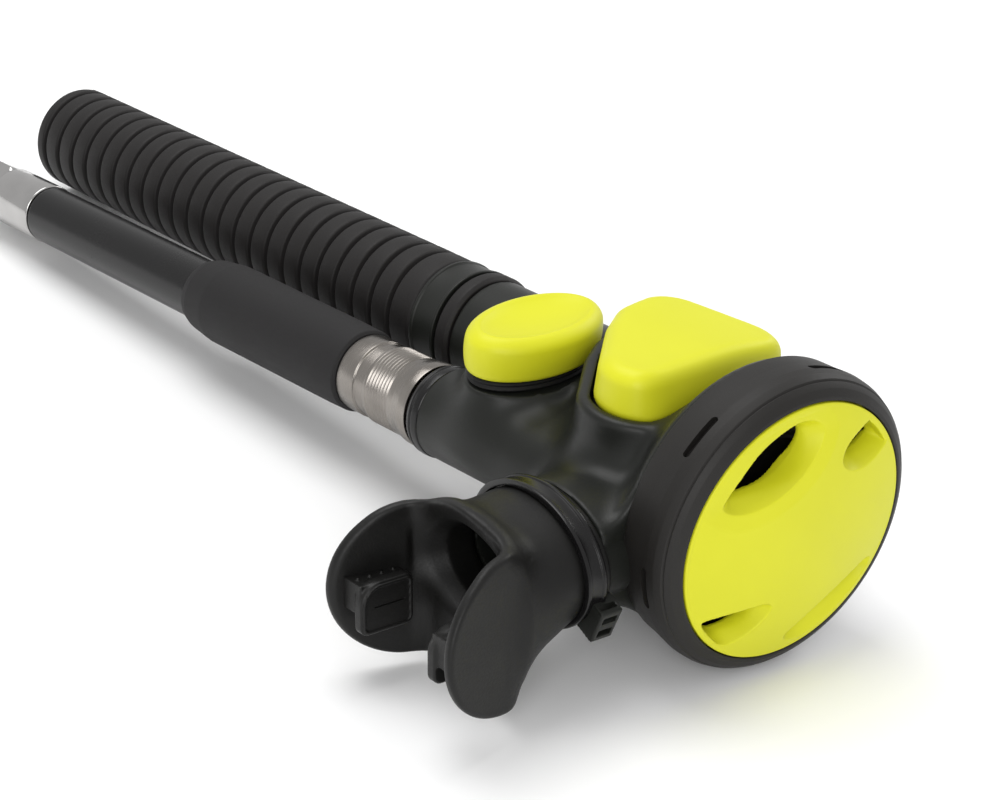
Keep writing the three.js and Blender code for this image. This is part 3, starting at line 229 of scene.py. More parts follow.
# what surfaces have unless their own row says otherwise: sizes of clouds and smears are in
# millimetres, range is the part of a noise's range that is used
surface = {"specular": 0.3, "spread": 0.12, "cloud": 14, "smear": 9, "range": (0.3, 0.7),
           "coarser": 6, "coarseShare": 0.5, "streak": (1, 0.02, 0.02), "streakShare": 0.6,
           "glossy": 0.7, "dull": 1.5}


# moulded plastic or rubber: mottled colour, uneven gloss and a fine grain
def moulded(name, **look):
    look = {**surface, **look}
    finish = Finish(name, Roughness=look["rough"], Specular_IOR_Level=look["specular"])
    cloud = finish.noise(look["cloud"], 3)
    grain = finish.noise(look["grain"], 2)
    finish.drive("Base Color", finish.mixed(cloud, look["dark"], look["light"]))
    half = look["spread"] / 2
    finish.drive("Roughness", finish.clamped(cloud * 0.5 + grain * 0.5, *look["range"],
                                             look["rough"] - half, look["rough"] + half))
    coarse = finish.noise(look["grain"] * look["coarser"], 2)
    finish.bump(grain + coarse * look["coarseShare"], look["relief"])
    return finish.material


# turned or drawn metal: streaks round the X axis and a few fine scratches
def turnedMetal(name, **look):
    finish = Finish(name, Metallic=1.0, Roughness=look["rough"])
    look = {**surface, **look}
    share = look["streakShare"]
    lines = finish.noise(look["lines"], 3, look["streak"], 0.6)
    smear = finish.noise(look["smear"], 2)
    finish.drive("Base Color", finish.mixed(smear, look["dark"], look["light"]))
    finish.drive("Roughness", finish.clamped(
        lines * share + smear * (1 - share), *look["range"],
        look["rough"] * look["glossy"], look["rough"] * look["dull"]))
    finish.bump(lines, look["relief"])
    return finish.material


print("finishes")
finishes = {
    "body": moulded("black_plastic",
        dark=(0.0075, 0.0082, 0.0068), light=(0.0125, 0.0135, 0.0112), rough=0.42,
        grain=0.35, relief=0.02, spread=0.1),
    "ring": moulded("ring_plastic",
        dark=(0.0105, 0.0095, 0.0085), light=(0.016, 0.0145, 0.013), rough=0.54,
        specular=0.32, grain=0.3, relief=0.02, spread=0.1),
    "yellow": moulded("yellow_plastic",
        dark=(0.62, 0.62, 0.014), light=(0.69, 0.69, 0.022), rough=0.45,
        grain=0.4, relief=0.012, spread=0.1, cloud=22),
    "silicone": moulded("black_silicone",
        dark=(0.0032, 0.0032, 0.003), light=(0.0072, 0.0068, 0.0062), rough=0.46,
        grain=0.5, relief=0.03, spread=0.16),
    "clear": moulded("clear_silicone",
        dark=(0.42, 0.44, 0.44), light=(0.52, 0.54, 0.54), rough=0.45,
        specular=0.5, grain=0.6, relief=0.02),
    "rubber": moulded("black_rubber",
        dark=(0.006, 0.006, 0.006), light=(0.011, 0.0105, 0.0105), rough=0.62,
        grain=0.3, relief=0.03, spread=0.14),
    "sleeve": moulded("sleeve_rubber",
        dark=(0.0085, 0.008, 0.0085), light=(0.0145, 0.0135, 0.014), rough=0.68,
        specular=0.32, grain=0.22, relief=0.05),
    "corrugated": moulded("corrugated_rubber",
        dark=(0.0075, 0.0065, 0.0063), light=(0.0135, 0.0118, 0.0115), rough=0.56,
        grain=0.35, relief=0.04, spread=0.14),
    "hose": moulded("hose_rubber",
        dark=(0.0028, 0.0027, 0.0028), light=(0.0052, 0.0048, 0.005), rough=0.24,
        specular=0.36, grain=0.25, relief=0.015, spread=0.1),
    "steel": turnedMetal("stainless",
        dark=(0.17, 0.155, 0.14), light=(0.36, 0.335, 0.31), rough=0.24,
        lines=0.12, relief=0.02),
    "polished": turnedMetal("polished_steel",
        dark=(0.4, 0.395, 0.39), light=(0.56, 0.55, 0.54), rough=0.15,
        lines=0.2, relief=0.008),
    "brass": turnedMetal("brass",
        dark=(0.45, 0.36, 0.17), light=(0.55, 0.45, 0.22), rough=0.28,
        lines=0.15, relief=0.015),
}


def meshOf(name, points, faces):
    mesh = bpy.data.meshes.new(name)
    mesh.from_pydata([tuple(c * mm for c in point) for point in points], [], faces)
    return mesh


# a piece of points in millimetres that moves with a body and replaces a solid's node
def makePiece(name, points, faces, place, finish, body, node, sharp=38):
    mesh = meshOf(name, points, faces)
    mesh.validate()
    mesh.shade_smooth()
    mesh.set_sharp_from_angle(angle=math.radians(sharp))
    mesh.materials.append(finishes[finish])
    piece = linked(name, mesh)
    piece.matrix_world = place
    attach(piece, body)
    if node:
        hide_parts(node)
    return piece


# an outline of (x, y, radius) corners, with an arc of that radius at each
def rounded(corners, steps=4, closed=True):
    points = []
    count = len(corners)
    for index, (x, y, radius) in enumerate(corners):
        here = Vector((x, y))
        if radius == 0 or (not closed and index in (0, count - 1)):
            points.append((x, y))
            continue
        before = Vector(corners[index - 1][:2]) - here
        after = Vector(corners[(index + 1) % count][:2]) - here
        half = before.angle(after) / 2
        reach = min(radius / math.tan(half), 0.49 * before.length, 0.49 * after.length)
        radius = reach * math.tan(half)
        before.normalize()
        after.normalize()
        middle = here + (before + after).normalized() * radius / math.sin(half)
        start = here + before * reach - middle
        end = here + after * reach - middle
        for step in range(steps + 1):
            share = step / steps
            out = (start * (1 - share) + end * share).normalized()
            points.append(tuple(middle + out * radius))
    return points


# faces between rows of as many points each; the last row meets the first, or both are capped
def gridFaces(rows, count, closed=True):
    faces = []
    for row in range(rows if closed else rows - 1):
        other = (row + 1) % rows
        for index in range(count):
            following = (index + 1) % count
            faces.append((row * count + index, row * count + following,
                          other * count + following, other * count + index))
    if not closed:
        faces.append(tuple(reversed(range(count))))
        faces.append(tuple(range((rows - 1) * count, rows * count)))
    return faces


def flipped(faces):
    return [tuple(reversed(face)) for face in faces]


# points and faces of a profile of (x, radius) points turned about X; a closed profile
# makes a ring, an open one starts and ends on the axis
def turnedMesh(profile, sides=96, closed=True, wobble=None):
    points = []
    for x, radius in profile:
        for side in range(sides):
            angle = tau * side / sides
            reach = radius + (wobble(x, angle) if wobble else 0)
            points.append((x, reach * math.sin(angle), reach * math.cos(angle)))
    faces = gridFaces(len(profile), sides, closed)
    following = profile[1:] + profile[:1]
    area = sum(a[0] * b[1] - b[0] * a[1] for a, b in zip(profile, following))
    return points, flipped(faces) if area > 0 else faces


# a ring of (x, radius, rounding) corners turned about X
def turnedPiece(name, corners, steps, place, finish, body, node, sides=96, sharp=38,
                wobble=None):
    points, faces = turnedMesh(rounded(corners, steps), sides, wobble=wobble)
    return makePiece(name, points, faces, place, finish, body, node, sharp)


# a piece with the given meshes cut out of it
def carve(piece, cutters, sharp=32):
    bpy.context.view_layer.update()
    for points, faces in cutters:
        mesh = meshOf("cutter", points, faces)
        cutter = linked("cutter", mesh)
        cutter.matrix_world = piece.matrix_world
        modifier = piece.modifiers.new("carve", "BOOLEAN")
        modifier.operation = "DIFFERENCE"
        modifier.solver = "EXACT"
        modifier.object = cutter
        bpy.context.view_layer.update()
        graph = bpy.context.evaluated_depsgraph_get()
        carved = bpy.data.meshes.new_from_object(piece.evaluated_get(graph))
        piece.modifiers.clear()
        old = piece.data
        piece.data = carved
        bpy.data.meshes.remove(old)
        bpy.data.objects.remove(cutter)
        bpy.data.meshes.remove(mesh)
    piece.data.shade_smooth()
    piece.data.set_sharp_from_angle(angle=math.radians(sharp))


# soft shapes come from distances: each of the next functions takes and gives numpy arrays,
# in millimetres, negative inside

# the union of two shapes, rounded where they meet
def blended(first, second, width):
    share = np.clip(0.5 + 0.5 * (second - first) / width, 0, 1)
    return second + (first - second) * share - width * share * (1 - share)


# what two shapes share, with its edge rounded
def shared(first, second, width):
    return -blended(-first, -second, width)


def without(first, second, width):
    return shared(first, -second, width)


# two distances that meet at a right angle, with the edge between them rounded
def rounding(first, second, radius):
    inside = np.minimum(np.maximum(first, second), 0)
    return inside + np.hypot(np.maximum(first, 0), np.maximum(second, 0)) - radius


# a flat distance carried from low to high along another axis, with rounded edges
def slab(flat, along, low, high, edge=1.0):
    return rounding(flat + edge, np.abs(along - (low + high) / 2) - (high - low) / 2 + edge,
                    edge)


# coordinates seen from axes that are turned by so many degrees
def turned(a, b, degrees):
    angle = math.radians(degrees)
    return (a * math.cos(angle) + b * math.sin(angle),
            b * math.cos(angle) - a * math.sin(angle))


def box(a, b, halfA, halfB):
    return np.maximum(np.abs(a) - halfA, np.abs(b) - halfB)


def oval(a, b, halfA, halfB):
    first = np.hypot(a / halfA, b / halfB)
    second = np.maximum(np.hypot(a / halfA ** 2, b / halfB ** 2), 1e-6)
    return first * (first - 1) / second


# distance to a polygon of corners, grown by a radius
def grown(a, b, corners, radius):
    nearest = None
    inside = None
    count = len(corners)
    for index in range(count):
        ax, ay = corners[index]
        bx, by = corners[(index + 1) % count]
        ex, ey = bx - ax, by - ay
        share = np.clip(((a - ax) * ex + (b - ay) * ey) / (ex * ex + ey * ey), 0, 1)
        far = np.hypot(a - ax - share * ex, b - ay - share * ey)
        left = ex * (b - ay) - ey * (a - ax)
        nearest = far if nearest is None else np.minimum(nearest, far)
        inside = left > 0 if inside is None else inside & (left > 0)
    return np.where(inside, -nearest, nearest) - radius


# coordinates inside a frame, of points given in the case's frame
def within(place, x, y, z):
    inverse = (caseFrame.inverted() @ place).inverted()
    turn = inverse.to_3x3()
    move = inverse.to_translation() / mm
    return [turn[row][0] * x + turn[row][1] * y + turn[row][2] * z + move[row]
            for row in range(3)]


# points and faces of the surface where a distance is nought
def surfaceOf(distance, low, high, cell):
    counts = [int(math.ceil((b - a) / cell)) + 1 for a, b in zip(low, high)]
    axes = [a + cell * np.arange(n) for a, n in zip(low, counts)]
    field = distance(*np.meshgrid(*axes, indexing="ij", sparse=True))
    field = np.broadcast_to(field, counts)
    corners = []
    cells = []
    quads = []
    for axis in range(3):
        others = [(axis + 1) % 3, (axis + 2) % 3]
        first = np.take(field, range(counts[axis] - 1), axis)
        second = np.take(field, range(1, counts[axis]), axis)
        crossing = (first < 0) != (second < 0)
        index = np.argwhere(crossing)
        start = first[crossing]
        point = index.astype(float)
        point[:, axis] += start / (start - second[crossing])
        around = []
        for step in ((0, 0), (-1, 0), (-1, -1), (0, -1)):
            cellIndex = index.copy()
            cellIndex[:, others[0]] += step[0]
            cellIndex[:, others[1]] += step[1]
            around.append((cellIndex[:, 0] * counts[1] + cellIndex[:, 1]) * counts[2]
                          + cellIndex[:, 2])
            cells.append(around[-1])
            corners.append(point)
        quad = np.stack(around, 1)
        quad[start > 0] = quad[start > 0][:, ::-1]
        quads.append(quad)
    cells, member = np.unique(np.concatenate(cells), return_inverse=True)
    corners = np.concatenate(corners)
    total = np.bincount(member, minlength=len(cells))
    points = np.stack([np.bincount(member, corners[:, k]) / total for k in range(3)], 1)
    points = points * cell + np.array(low)
    faces = np.searchsorted(cells, np.concatenate(quads))
    return settled(distance, points, cell), faces.tolist()


# points moved onto the surface along the distance's slope
def settled(distance, points, cell):
    step = cell * 0.2
    for turn in range(3):
        value = distance(*points.T)
        slope = np.stack([
            distance(*(points + step * side).T) - distance(*(points - step * side).T)
            for side in np.eye(3)], 1) / (2 * step)
        size = np.maximum((slope ** 2).sum(1), 0.25)
        move = np.clip(value / size, -cell / 2, cell / 2)
        points = points - slope * move[:, None]
    return points


# a piece of the surface where a distance is nought, looked for from low to high
def fieldPiece(name, distance, low, high, cell, place, finish, body, node, sharp=50):
    points, faces = surfaceOf(distance, low, high, cell)
    return makePiece(name, points.tolist(), faces, place, finish, body, node, sharp)


# a point on a frame's X, so many millimetres from its origin
def along(place, position):
    return list(place @ (Vector((position, 0, 0)) * mm))


def route(place, start, end, count=16):
    return [along(place, start + (end - start) * step / (count - 1)) for step in range(count)]


print("corrugated hose")
# a free hose from the case's end collar; its grooves and its mould line are modelled
corrugated = {
    "from": -56.3, "to": -238.64, "outer": 14.0, "bore": 11.4, "cuffBore": 10.9,
    "firstGroove": -78.4, "pitch": 7.08, "grooves": 23, "grooveWide": 1.7, "grooveDeep": 1.9,
    "cuff": 13.6, "tieSeat": (-70.1, -61.1), "seatRadius": 12.8, "beadRadius": 14.2,
    "seam": 0.12, "seamAt": 20, "seamNarrow": 0.0006, "sides": 180,
}


def makeCorrugatedHose(c):
    start, end, outer = c["from"], c["to"], c["outer"]
    seatFrom, seatTo = c["tieSeat"]
    corners = [(start, c["cuffBore"], 0.3), (start, c["cuff"] - 0.2, 0.5),
               (start - 0.9, c["beadRadius"], 0.6), (seatTo + 1.0, c["beadRadius"], 0.7),
               (seatTo, c["seatRadius"], 0.3), (seatFrom, c["seatRadius"], 0.4),
               (seatFrom - 0.9, outer - 0.1, 0.8)]
    half = c["grooveWide"] / 2
    deep = outer - c["grooveDeep"]
    for index in range(c["grooves"]):
        at = c["firstGroove"] - index * c["pitch"]
        corners += [(at + half, outer, 0.7), (at + half * 0.45, deep, 0.3),
                    (at - half * 0.45, deep, 0.3), (at - half, outer, 0.7)]
    corners += [(end, outer, 1.2), (end, c["bore"], 0.8), (c["firstGroove"], c["bore"], 1),
                (c["firstGroove"] + 3, c["cuffBore"], 1)]
    return turnedPiece("inflator_hose", corners, 3, airFrame, "corrugated", "case",
                       "corrugated_hose", c["sides"], 60, mouldLine)


# how far the mould line stands out at an angle, on both sides of the hose
def mouldLine(x, angle):
    c = corrugated
    near = abs(math.cos(angle - math.radians(c["seamAt"])))
    return c["seam"] * max(0, near - 1 + c["seamNarrow"]) / c["seamNarrow"]


# corners of a band's section: its edges stand up beside a lower middle
def bandSection(low, high, inner, outer, shoulder, middle, edge, radii):
    half = [(low, inner), (low, outer), (low + shoulder, outer), (low + middle, outer - edge)]
    half = [(*point, radius) for point, radius in zip(half, radii)]
    return half + [(low + high - x, y, radius) for x, y, radius in reversed(half)]


hoseBand = {"from": -69.8, "to": -61.4, "inner": 13.1, "thick": 1.1, "edge": 0.35}


def makeHoseTie(c):
    corners = bandSection(c["from"], c["to"], c["inner"], c["inner"] + c["thick"], 0.8, 1.1,
                          c["edge"], (0.1, 0.3, 0.2, 0.2))
    return turnedPiece("inflator_hose_tie", corners, 3, airFrame, "body", "case",
                       "hose_tie", 144)


corrugatedHose = makeCorrugatedHose(corrugated)
corrugatedTie = makeHoseTie(hoseBand)
along(airFrame, corrugated["from"])
route(airFrame, corrugated["from"], corrugated["to"])


print("low-pressure hose and quick coupling")
pressureHose = {"from": -84.6, "to": -195.6, "radius": 7.5}
sleeveShape = {"from": -61.6, "to": -123.6, "radius": 10.0, "bore": 7.5}
ferruleShape = {"from": -195.9, "to": -213.9, "radius": 7.8, "bore": 4.9}
fittingShape = {"hexFrom": -214.2, "hexTo": -222.2, "flats": 14.3, "thread": 4.7, "end": -233.6,
                "groove": 3.6, "bore": 2.5, "turns": 7, "neck": 2.4, "bevel": 0.35,
                "sealRadius": 4.35, "sealThick": 0.55}
collarShape = {"from": -36.3, "to": -51.8, "flare": 9.9, "radius": 9.35, "grooves": 8,
               "pitch": 1.0, "deep": 0.5, "bore": 8.3, "firstGroove": -43.4,
               "rearBore": 8.9, "rearFloor": -47.9}
# corners of the coupling's body: the front that holds the balls, the rear sleeve over the
# collar's spring, the neck, and back through the bore
couplerShape = [(-38.5, 5.7, 0.1), (-38.5, 8, 0.3), (-46.5, 8, 0.3), (-46.5, 6.5, 0.1),
                (-55.9, 6.5, 0.1), (-55.9, 7.95, 0.1), (-51.6, 7.95, 0.1), (-51.6, 8.7, 0.2),
                (-55.4, 8.7, 0.2), (-55.7, 9.15, 0.3), (-61.3, 9.1, 0.3), (-61.3, 6.4, 0.1),
                (-66, 6.4, 0), (-66, 2.5, 0), (-64.5, 2.5, 0), (-64.5, 4.2, 0),
                (-57.2, 4.2, 0), (-57.2, 1.7, 0), (-56, 1.7, 0), (-56, 5.7, 0)]
# the glossy lip round the port that the coupling meets
portLip = {"from": -35.3, "to": -31.2, "radius": 10.55, "bore": 8.6}


def makePressureHose(c):
    profile = rounded([(c["from"], 0, 0), (c["from"], c["radius"], 0.5),
                       (c["to"], c["radius"], 0.5), (c["to"], 0, 0)], 3, False)
    steps = 40
    body = [(c["from"] - 1 + (c["to"] + 1 - c["from"] + 1) * k / steps, c["radius"])
            for k in range(steps + 1)]
    middle = len(profile) // 2
    profile = profile[1:middle] + body + profile[middle:-1]
    points, faces = turnedMesh(profile, 64, False)
    return makePiece("pressure_hose", points, faces, lpFrame, "hose", "coupler",
                     "lp_hose")


def makeSleeve(c):
    start, end, radius = c["from"], c["to"], c["radius"]
    corners = [(start, c["bore"], 0.4), (start, radius - 0.9, 0.4),
               (start - 0.6, radius - 0.15, 0.6), (start - 7, radius, 6),
               (end + 10, radius + 0.1, 8), (end + 2.6, radius - 0.8, 2.6),
               (end + 0.2, c["bore"] + 0.9, 0.5), (end, c["bore"], 0.2)]
    turnedPiece("hose_sleeve", corners, 6, lpFrame, "sleeve", "coupler",
                "hose_protector", sharp=60)


def makeFerrule(c):
    start, end, radius = c["from"], c["to"], c["radius"]
    corners = [(start, c["bore"], 0), (start, radius, 0.4), (end, radius, 0.5),
               (end, c["bore"], 0)]
    return turnedPiece("pressure_hose_ferrule", corners, 3, lpFrame, "polished",
                       "coupler", "hose_ferrule_far")


# a hexagon with bevelled corners, then a groove for the seal and the thread
def makeFitting(c):
    across = c["flats"] / 2
    start, end, thick = c["hexFrom"], c["hexTo"], c["thread"]
    neck = end - c["neck"]
    steps = 10
    profile = [(start, 0.1)] + [(start + (end - start) * k / steps, across)
                                for k in range(steps + 1)]
    profile += [(end, thick + 0.6), (end + 0.45, thick + 0.5), (end + 0.45, c["groove"]),
                (neck, c["groove"])]
    pitch = (neck - c["end"] - 0.6) / c["turns"]
    for turn in range(c["turns"]):
        at = neck - turn * pitch
        profile += [(at, thick - 0.5), (at - pitch * 0.3, thick), (at - pitch * 0.55, thick)]
    profile += [(c["end"], thick - 0.8), (c["end"], c["bore"]), (c["end"] + 8, c["bore"]),
                (c["end"] + 8, 0.1)]
    points, faces = turnedMesh(profile, closed=False)
    for index, (x, y, z) in enumerate(points):
        size = math.hypot(y, z)
        if abs(size - across) < 1e-6:
            flat = across / math.cos(math.atan2(y, z) % (tau / 6) - tau / 12)
            wide = min(flat, across + c["bevel"] + 1.1 * min(start - x, x - end))
            points[index] = (x, y / size * wide, z / size * wide)
    fitting = makePiece("pressure_hose_fitting", points, faces, lpFrame, "polished", "coupler",
                        "lp_fitting", 30)
    middle, half = c["sealRadius"], c["sealThick"]
    circle = [(end - c["neck"] / 2 + half * math.cos(tau * k / 12),
               middle + half * math.sin(tau * k / 12), 0) for k in range(12)]
    seal = turnedPiece("fitting_seal", circle, 1, lpFrame, "rubber", "coupler",
                       "fitting_oring", 48)
    return fitting, seal


def makeCollar(c):
    front, radius = c["from"], c["radius"]
    corners = [(front, c["bore"] + 0.7, 0.1), (front, c["flare"], 0.35),
               (front - 2.6, c["flare"], 0.8), (front - 5.2, radius, 1.0)]
    for index in range(c["grooves"]):
        at = c["firstGroove"] - index * c["pitch"]
        corners += [(at + 0.42, radius, 0.12), (at, radius - c["deep"], 0.12),
                    (at - 0.42, radius, 0.12)]
    corners += [(c["to"], radius, 0.3), (c["to"], c["rearBore"], 0.1),
                (c["rearFloor"], c["rearBore"], 0.1), (c["rearFloor"], c["bore"], 0.1)]
    turnedPiece("coupling_collar", corners, 2, lpFrame, "steel", "collar",
                "qd_collar", 128)


def makePortLip(c):
    start, end, radius = c["from"], c["to"], c["radius"]
    corners = [(start, c["bore"], 0.2), (start, radius - 0.5, 0.5), (start + 1.3, radius, 0.5),
               (start + 1.7, radius - 0.35, 0.15), (start + 2.1, radius + 0.02, 0.4),
               (end - 0.4, radius - 0.1, 0.5), (end, radius - 0.7, 0.2), (end, c["bore"], 0.2)]
    turnedPiece("port_lip", corners, 3, lpFrame, "hose", "case",
                "body_shell")


lpHose = makePressureHose(pressureHose)
makeSleeve(sleeveShape)
lpFerrule = makeFerrule(ferruleShape)
lpFitting, lpSeal = makeFitting(fittingShape)
makeCollar(collarShape)
turnedPiece("coupling_body", couplerShape, 3, lpFrame, "steel", "coupler",
            "qd_coupler")
makePortLip(portLip)
along(lpFrame, pressureHose["from"])
route(lpFrame, pressureHose["from"], pressureHose["to"])


print("buttons")
deflate = {
    "corners": [(-35.2, -12.7), (-37.2, 14.2), (-50.9, 8.6), (-49.3, 2.4), (-45.6, -2.5)],
    "radius": 10.0, "base": 14.5, "top": 26.4, "edge": 3.4, "draft": 0.05,
    # the top falls away to that side
    "fallFrom": -2.0, "fall": 0.0038,
    # the front slopes back, and the slope turns a little with y
    "slopeFrom": (-26.5, -8), "slopeBack": 0.3, "slopeAt": 19, "slopeTurn": 0.09,
    # the room for the valve's stem
    "hollow": 5.6, "roof": 3.2,
}


def deflateOutline(x, y, margin=0.0):
    return grown(x, y, deflate["corners"], deflate["radius"] + margin)


def deflateField(x, y, z):
    c = deflate
    flat = deflateOutline(x, y) + (z - c["base"]) * c["draft"]
    fallen = z + c["fall"] * np.maximum(y - c["fallFrom"], 0) ** 2 * (z > c["base"] + 4)
    shape = slab(flat, fallen, c["base"], c["top"], c["edge"])
    slopeX, slopeY = c["slopeFrom"]
    front = (x - slopeX + c["slopeTurn"] * (y - slopeY)) + c["slopeBack"] * (z - c["slopeAt"])
    shape = shared(shape, front * 0.95, 3)
    stemX, stemY, _ = places["deflate"]
    hollow = slab(np.hypot(x - stemX, y - stemY) - c["hollow"], z, c["base"] - 5,
                  c["top"] - c["roof"], 0.5)
    return np.maximum(shape, -hollow)


inflate = {"short": 11.2, "long": 18.3, "base": 9.4, "top": 19.5, "edge": 3.2, "belly": 14.2,
           "barrel": 0.03, "dish": 2.4, "rim": 3.2, "hollow": 4.7, "roof": 15.7}


def inflateField(x, y, z):
    c = inflate
    flat = oval(x, y, c["short"], c["long"]) + (z - c["belly"]) ** 2 * c["barrel"]
    shape = slab(flat, z, c["base"] - 5, c["top"], c["edge"])
    shape = shared(shape, c["base"] - z, 1.2)
    bowl = 1 - (x / (c["short"] - c["rim"])) ** 2 - (y / (c["long"] - c["rim"])) ** 2
    sunk = c["dish"] * np.where(bowl > 0, np.clip(bowl, 0, 1) ** 0.6, bowl * 0.5)
    shape = shared(shape, z - c["top"] + sunk, 1.0)
    hollow = slab(np.hypot(x, y) - c["hollow"], z, c["base"] - 5, c["roof"], 0.5)
    return np.maximum(shape, -hollow)


def makeButtons():
    fieldPiece("deflate_key", deflateField, (-64, -26, 13), (-24, 27, 27), 0.4, caseFrame,
               "yellow", "deflate", "deflate_button")
    fieldPiece("inflate_key", inflateField, (-13, -20, 8), (13, 20, 20.5), 0.35, inflateFrame,
               "yellow", "inflate", "inflate_button")


boot = {"short": 10.0, "long": 17.2, "from": 7.0, "to": 9.3, "fold": 0.4, "pitch": 1.15,
        "wall": 1.3, "keep": 0.1}


# the soft ring under the oval button
def makeBoot(c):
    def bootField(x, y, z):
        fold = c["fold"] * np.cos((z - c["from"]) * tau / c["pitch"])
        flat = oval(x, y, c["short"], c["long"]) + fold * 0.5 + 0.3
        shape = slab(flat, z, c["from"], c["to"], 0.3)
        return np.maximum(shape, -(flat + c["wall"]))

    piece = fieldPiece("inflate_boot_ring", bootField, (-12, -19, 6.5), (12, 19, 10.5), 0.3,
                       inflateFrame, "rubber", "case", "inflate_boot")
    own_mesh(piece)


makeButtons()
makeBoot(boot)


shell = {
    # outside and inside of the dome as (x, radius)
    "dome": [(-40, 14), (-31, 16.5), (-25, 21), (-20, 27), (-16.5, 30.8), (-14.3, 31.8)],
    "chamber": [(-32, 6.5), (-26, 6.5), (-22.6, 14), (-19.2, 22), (-15.2, 28)],
    "domeSlope": 0.85,
    # the flat web between the ports: middle and half sizes in x and y, and its corners
    "webMiddle": (-62, -4), "webHalf": (18, 9), "webCorner": 6,
    # room round the deflate button
    "rim": 3.3, "gap": 0.5,
    # each part: its axis, its radius or two half axes, from and to along the axis, its edge
    "parts": {
        "dome": ("case", None, -40, -14.3, 1.0), "airTube": ("air", 13.4, -56, 22, 0.8),
        "lpTube": ("lp", 10.2, -35, 26, 0.6), "root": ("mouth", (17.4, 12.5), -38, -8, 0.5),
        "web": ("deflate", None, -10.5, 4, 2.5), "housing": ("deflate", None, -8, 17.2, 1.6),
        "boss": ("inflate", (10.3, 17.5), -8, 6.8, 0.6),
        "exhaust": ("exhaust", 9.5, -24.5, -8, 0.4), "barb": ("air", 10.6, -73, -50, 0.6),
        "inner": ("mouth", (15.2, 10.3), -49, -8, 0.5),
        "ringRoom": ("case", 45, -14.3, 20, 0.1), "ringSeat": ("case", 30.2, -16, -10.4, 0.2),
        "sleeveRoom": ("mouth", (30, 30), -60, -38.1, 0.1),
        "hoseRoom": ("air", 22, -90, -56.1, 0.1), "well": ("deflate", None, 8.5, 40, 0.3),
        "pocket": ("inflate", (11.5, 18.7), 6.8, 40, 0.3),
        "cartridge": ("inflate", 4.5, -8.6, 20, 0.2), "chamber": ("case", None, -34, 5, 0.4),
        "mouthBore": ("mouth", (13, 8.1), -54, -8, 0.3), "airBore": ("air", 8.6, -78, 3, 0.3),
        "lpBore": ("lp", 5, -40, 6, 0.2), "seat": ("lp", 5.8, 5.7, 34.5, 0.2),
        "valve": ("deflate", 7, 3, 9, 0.2),
    },
    # in order: what joins the dome, then what is taken out, each with its rounding
    "joined": {"airTube": 5, "lpTube": 6, "root": 7, "web": 4, "housing": 6, "boss": 8,
               "exhaust": 3},
    "holes": {"well": 0.5, "pocket": 0.4, "cartridge": 0.3, "chamber": 0.3, "mouthBore": 0.3,
              "airBore": 0.3, "lpBore": 0.3, "seat": 0.3, "valve": 0.3},
}


def shellField(x, y, z):
    c = shell
    rho = np.hypot(y, z)
    # two coordinates across each axis and one along it
    axes = {"case": (y, z, x)}
    for name, place in (("air", airFrame), ("lp", lpFrame)):
        u, v, w = within(place, x, y, z)
        axes[name] = (v, w, u)
    axes["inflate"] = within(inflateFrame, x, y, z)
    for name in ("exhaust", "deflate"):
        axes[name] = (x - places[name][0], y - places[name][1], z)
    axes["mouth"] = (x - places["mouth"][0], z - places["mouth"][2], y)
    aside = [np.maximum(np.abs(value - middle) - half, 0)
             for value, middle, half in zip((x, y), c["webMiddle"], c["webHalf"])]
    flats = {
        "dome": (rho - np.interp(x, *zip(*c["dome"]))) * c["domeSlope"],
        "chamber": rho - np.interp(x, *zip(*c["chamber"])),
        "web": np.hypot(*aside) - c["webCorner"],
        "housing": deflateOutline(x, y, c["rim"]), "well": deflateOutline(x, y, c["gap"]),
    }

    def part(name):
        axis, wide, low, high, edge = c["parts"][name]
        a, b, position = axes[axis]
        if name in flats:
            flat = flats[name]
        elif isinstance(wide, tuple):
            flat = oval(a, b, *wide)
        else:
            flat = np.hypot(a, b) - wide
        return slab(flat, position, low, high, edge)

    barb, inner = part("barb"), part("inner")
    shape = part("dome")
    for name, width in c["joined"].items():
        shape = blended(shape, part(name), width)
    shape = without(np.minimum(np.minimum(shape, barb), inner), part("ringRoom"), 1.2)
    shape = np.minimum(shape, part("ringSeat"))
    shape = np.minimum(np.maximum(shape, -part("sleeveRoom")), inner)
    shape = np.minimum(np.maximum(shape, -part("hoseRoom")), barb)
    for name, width in c["holes"].items():
        shape = without(shape, part(name), width)
    return shape


def makeShell():
    fieldPiece("regulator_body", shellField, (-131, -51, -33), (-8, 36, 33),
               0.6, caseFrame, "body", "case",
               "body_shell")


print("body")
makeShell()


coverRing = {"radius": 33.0, "width": 14.0, "lip": 28.6, "inner": 30.5,
             "slots": 6, "slotLong": 10.0, "slotWide": 1.8, "slotAt": -7.0,
             "slotDeep": 1.7, "slotFirst": 133.0}


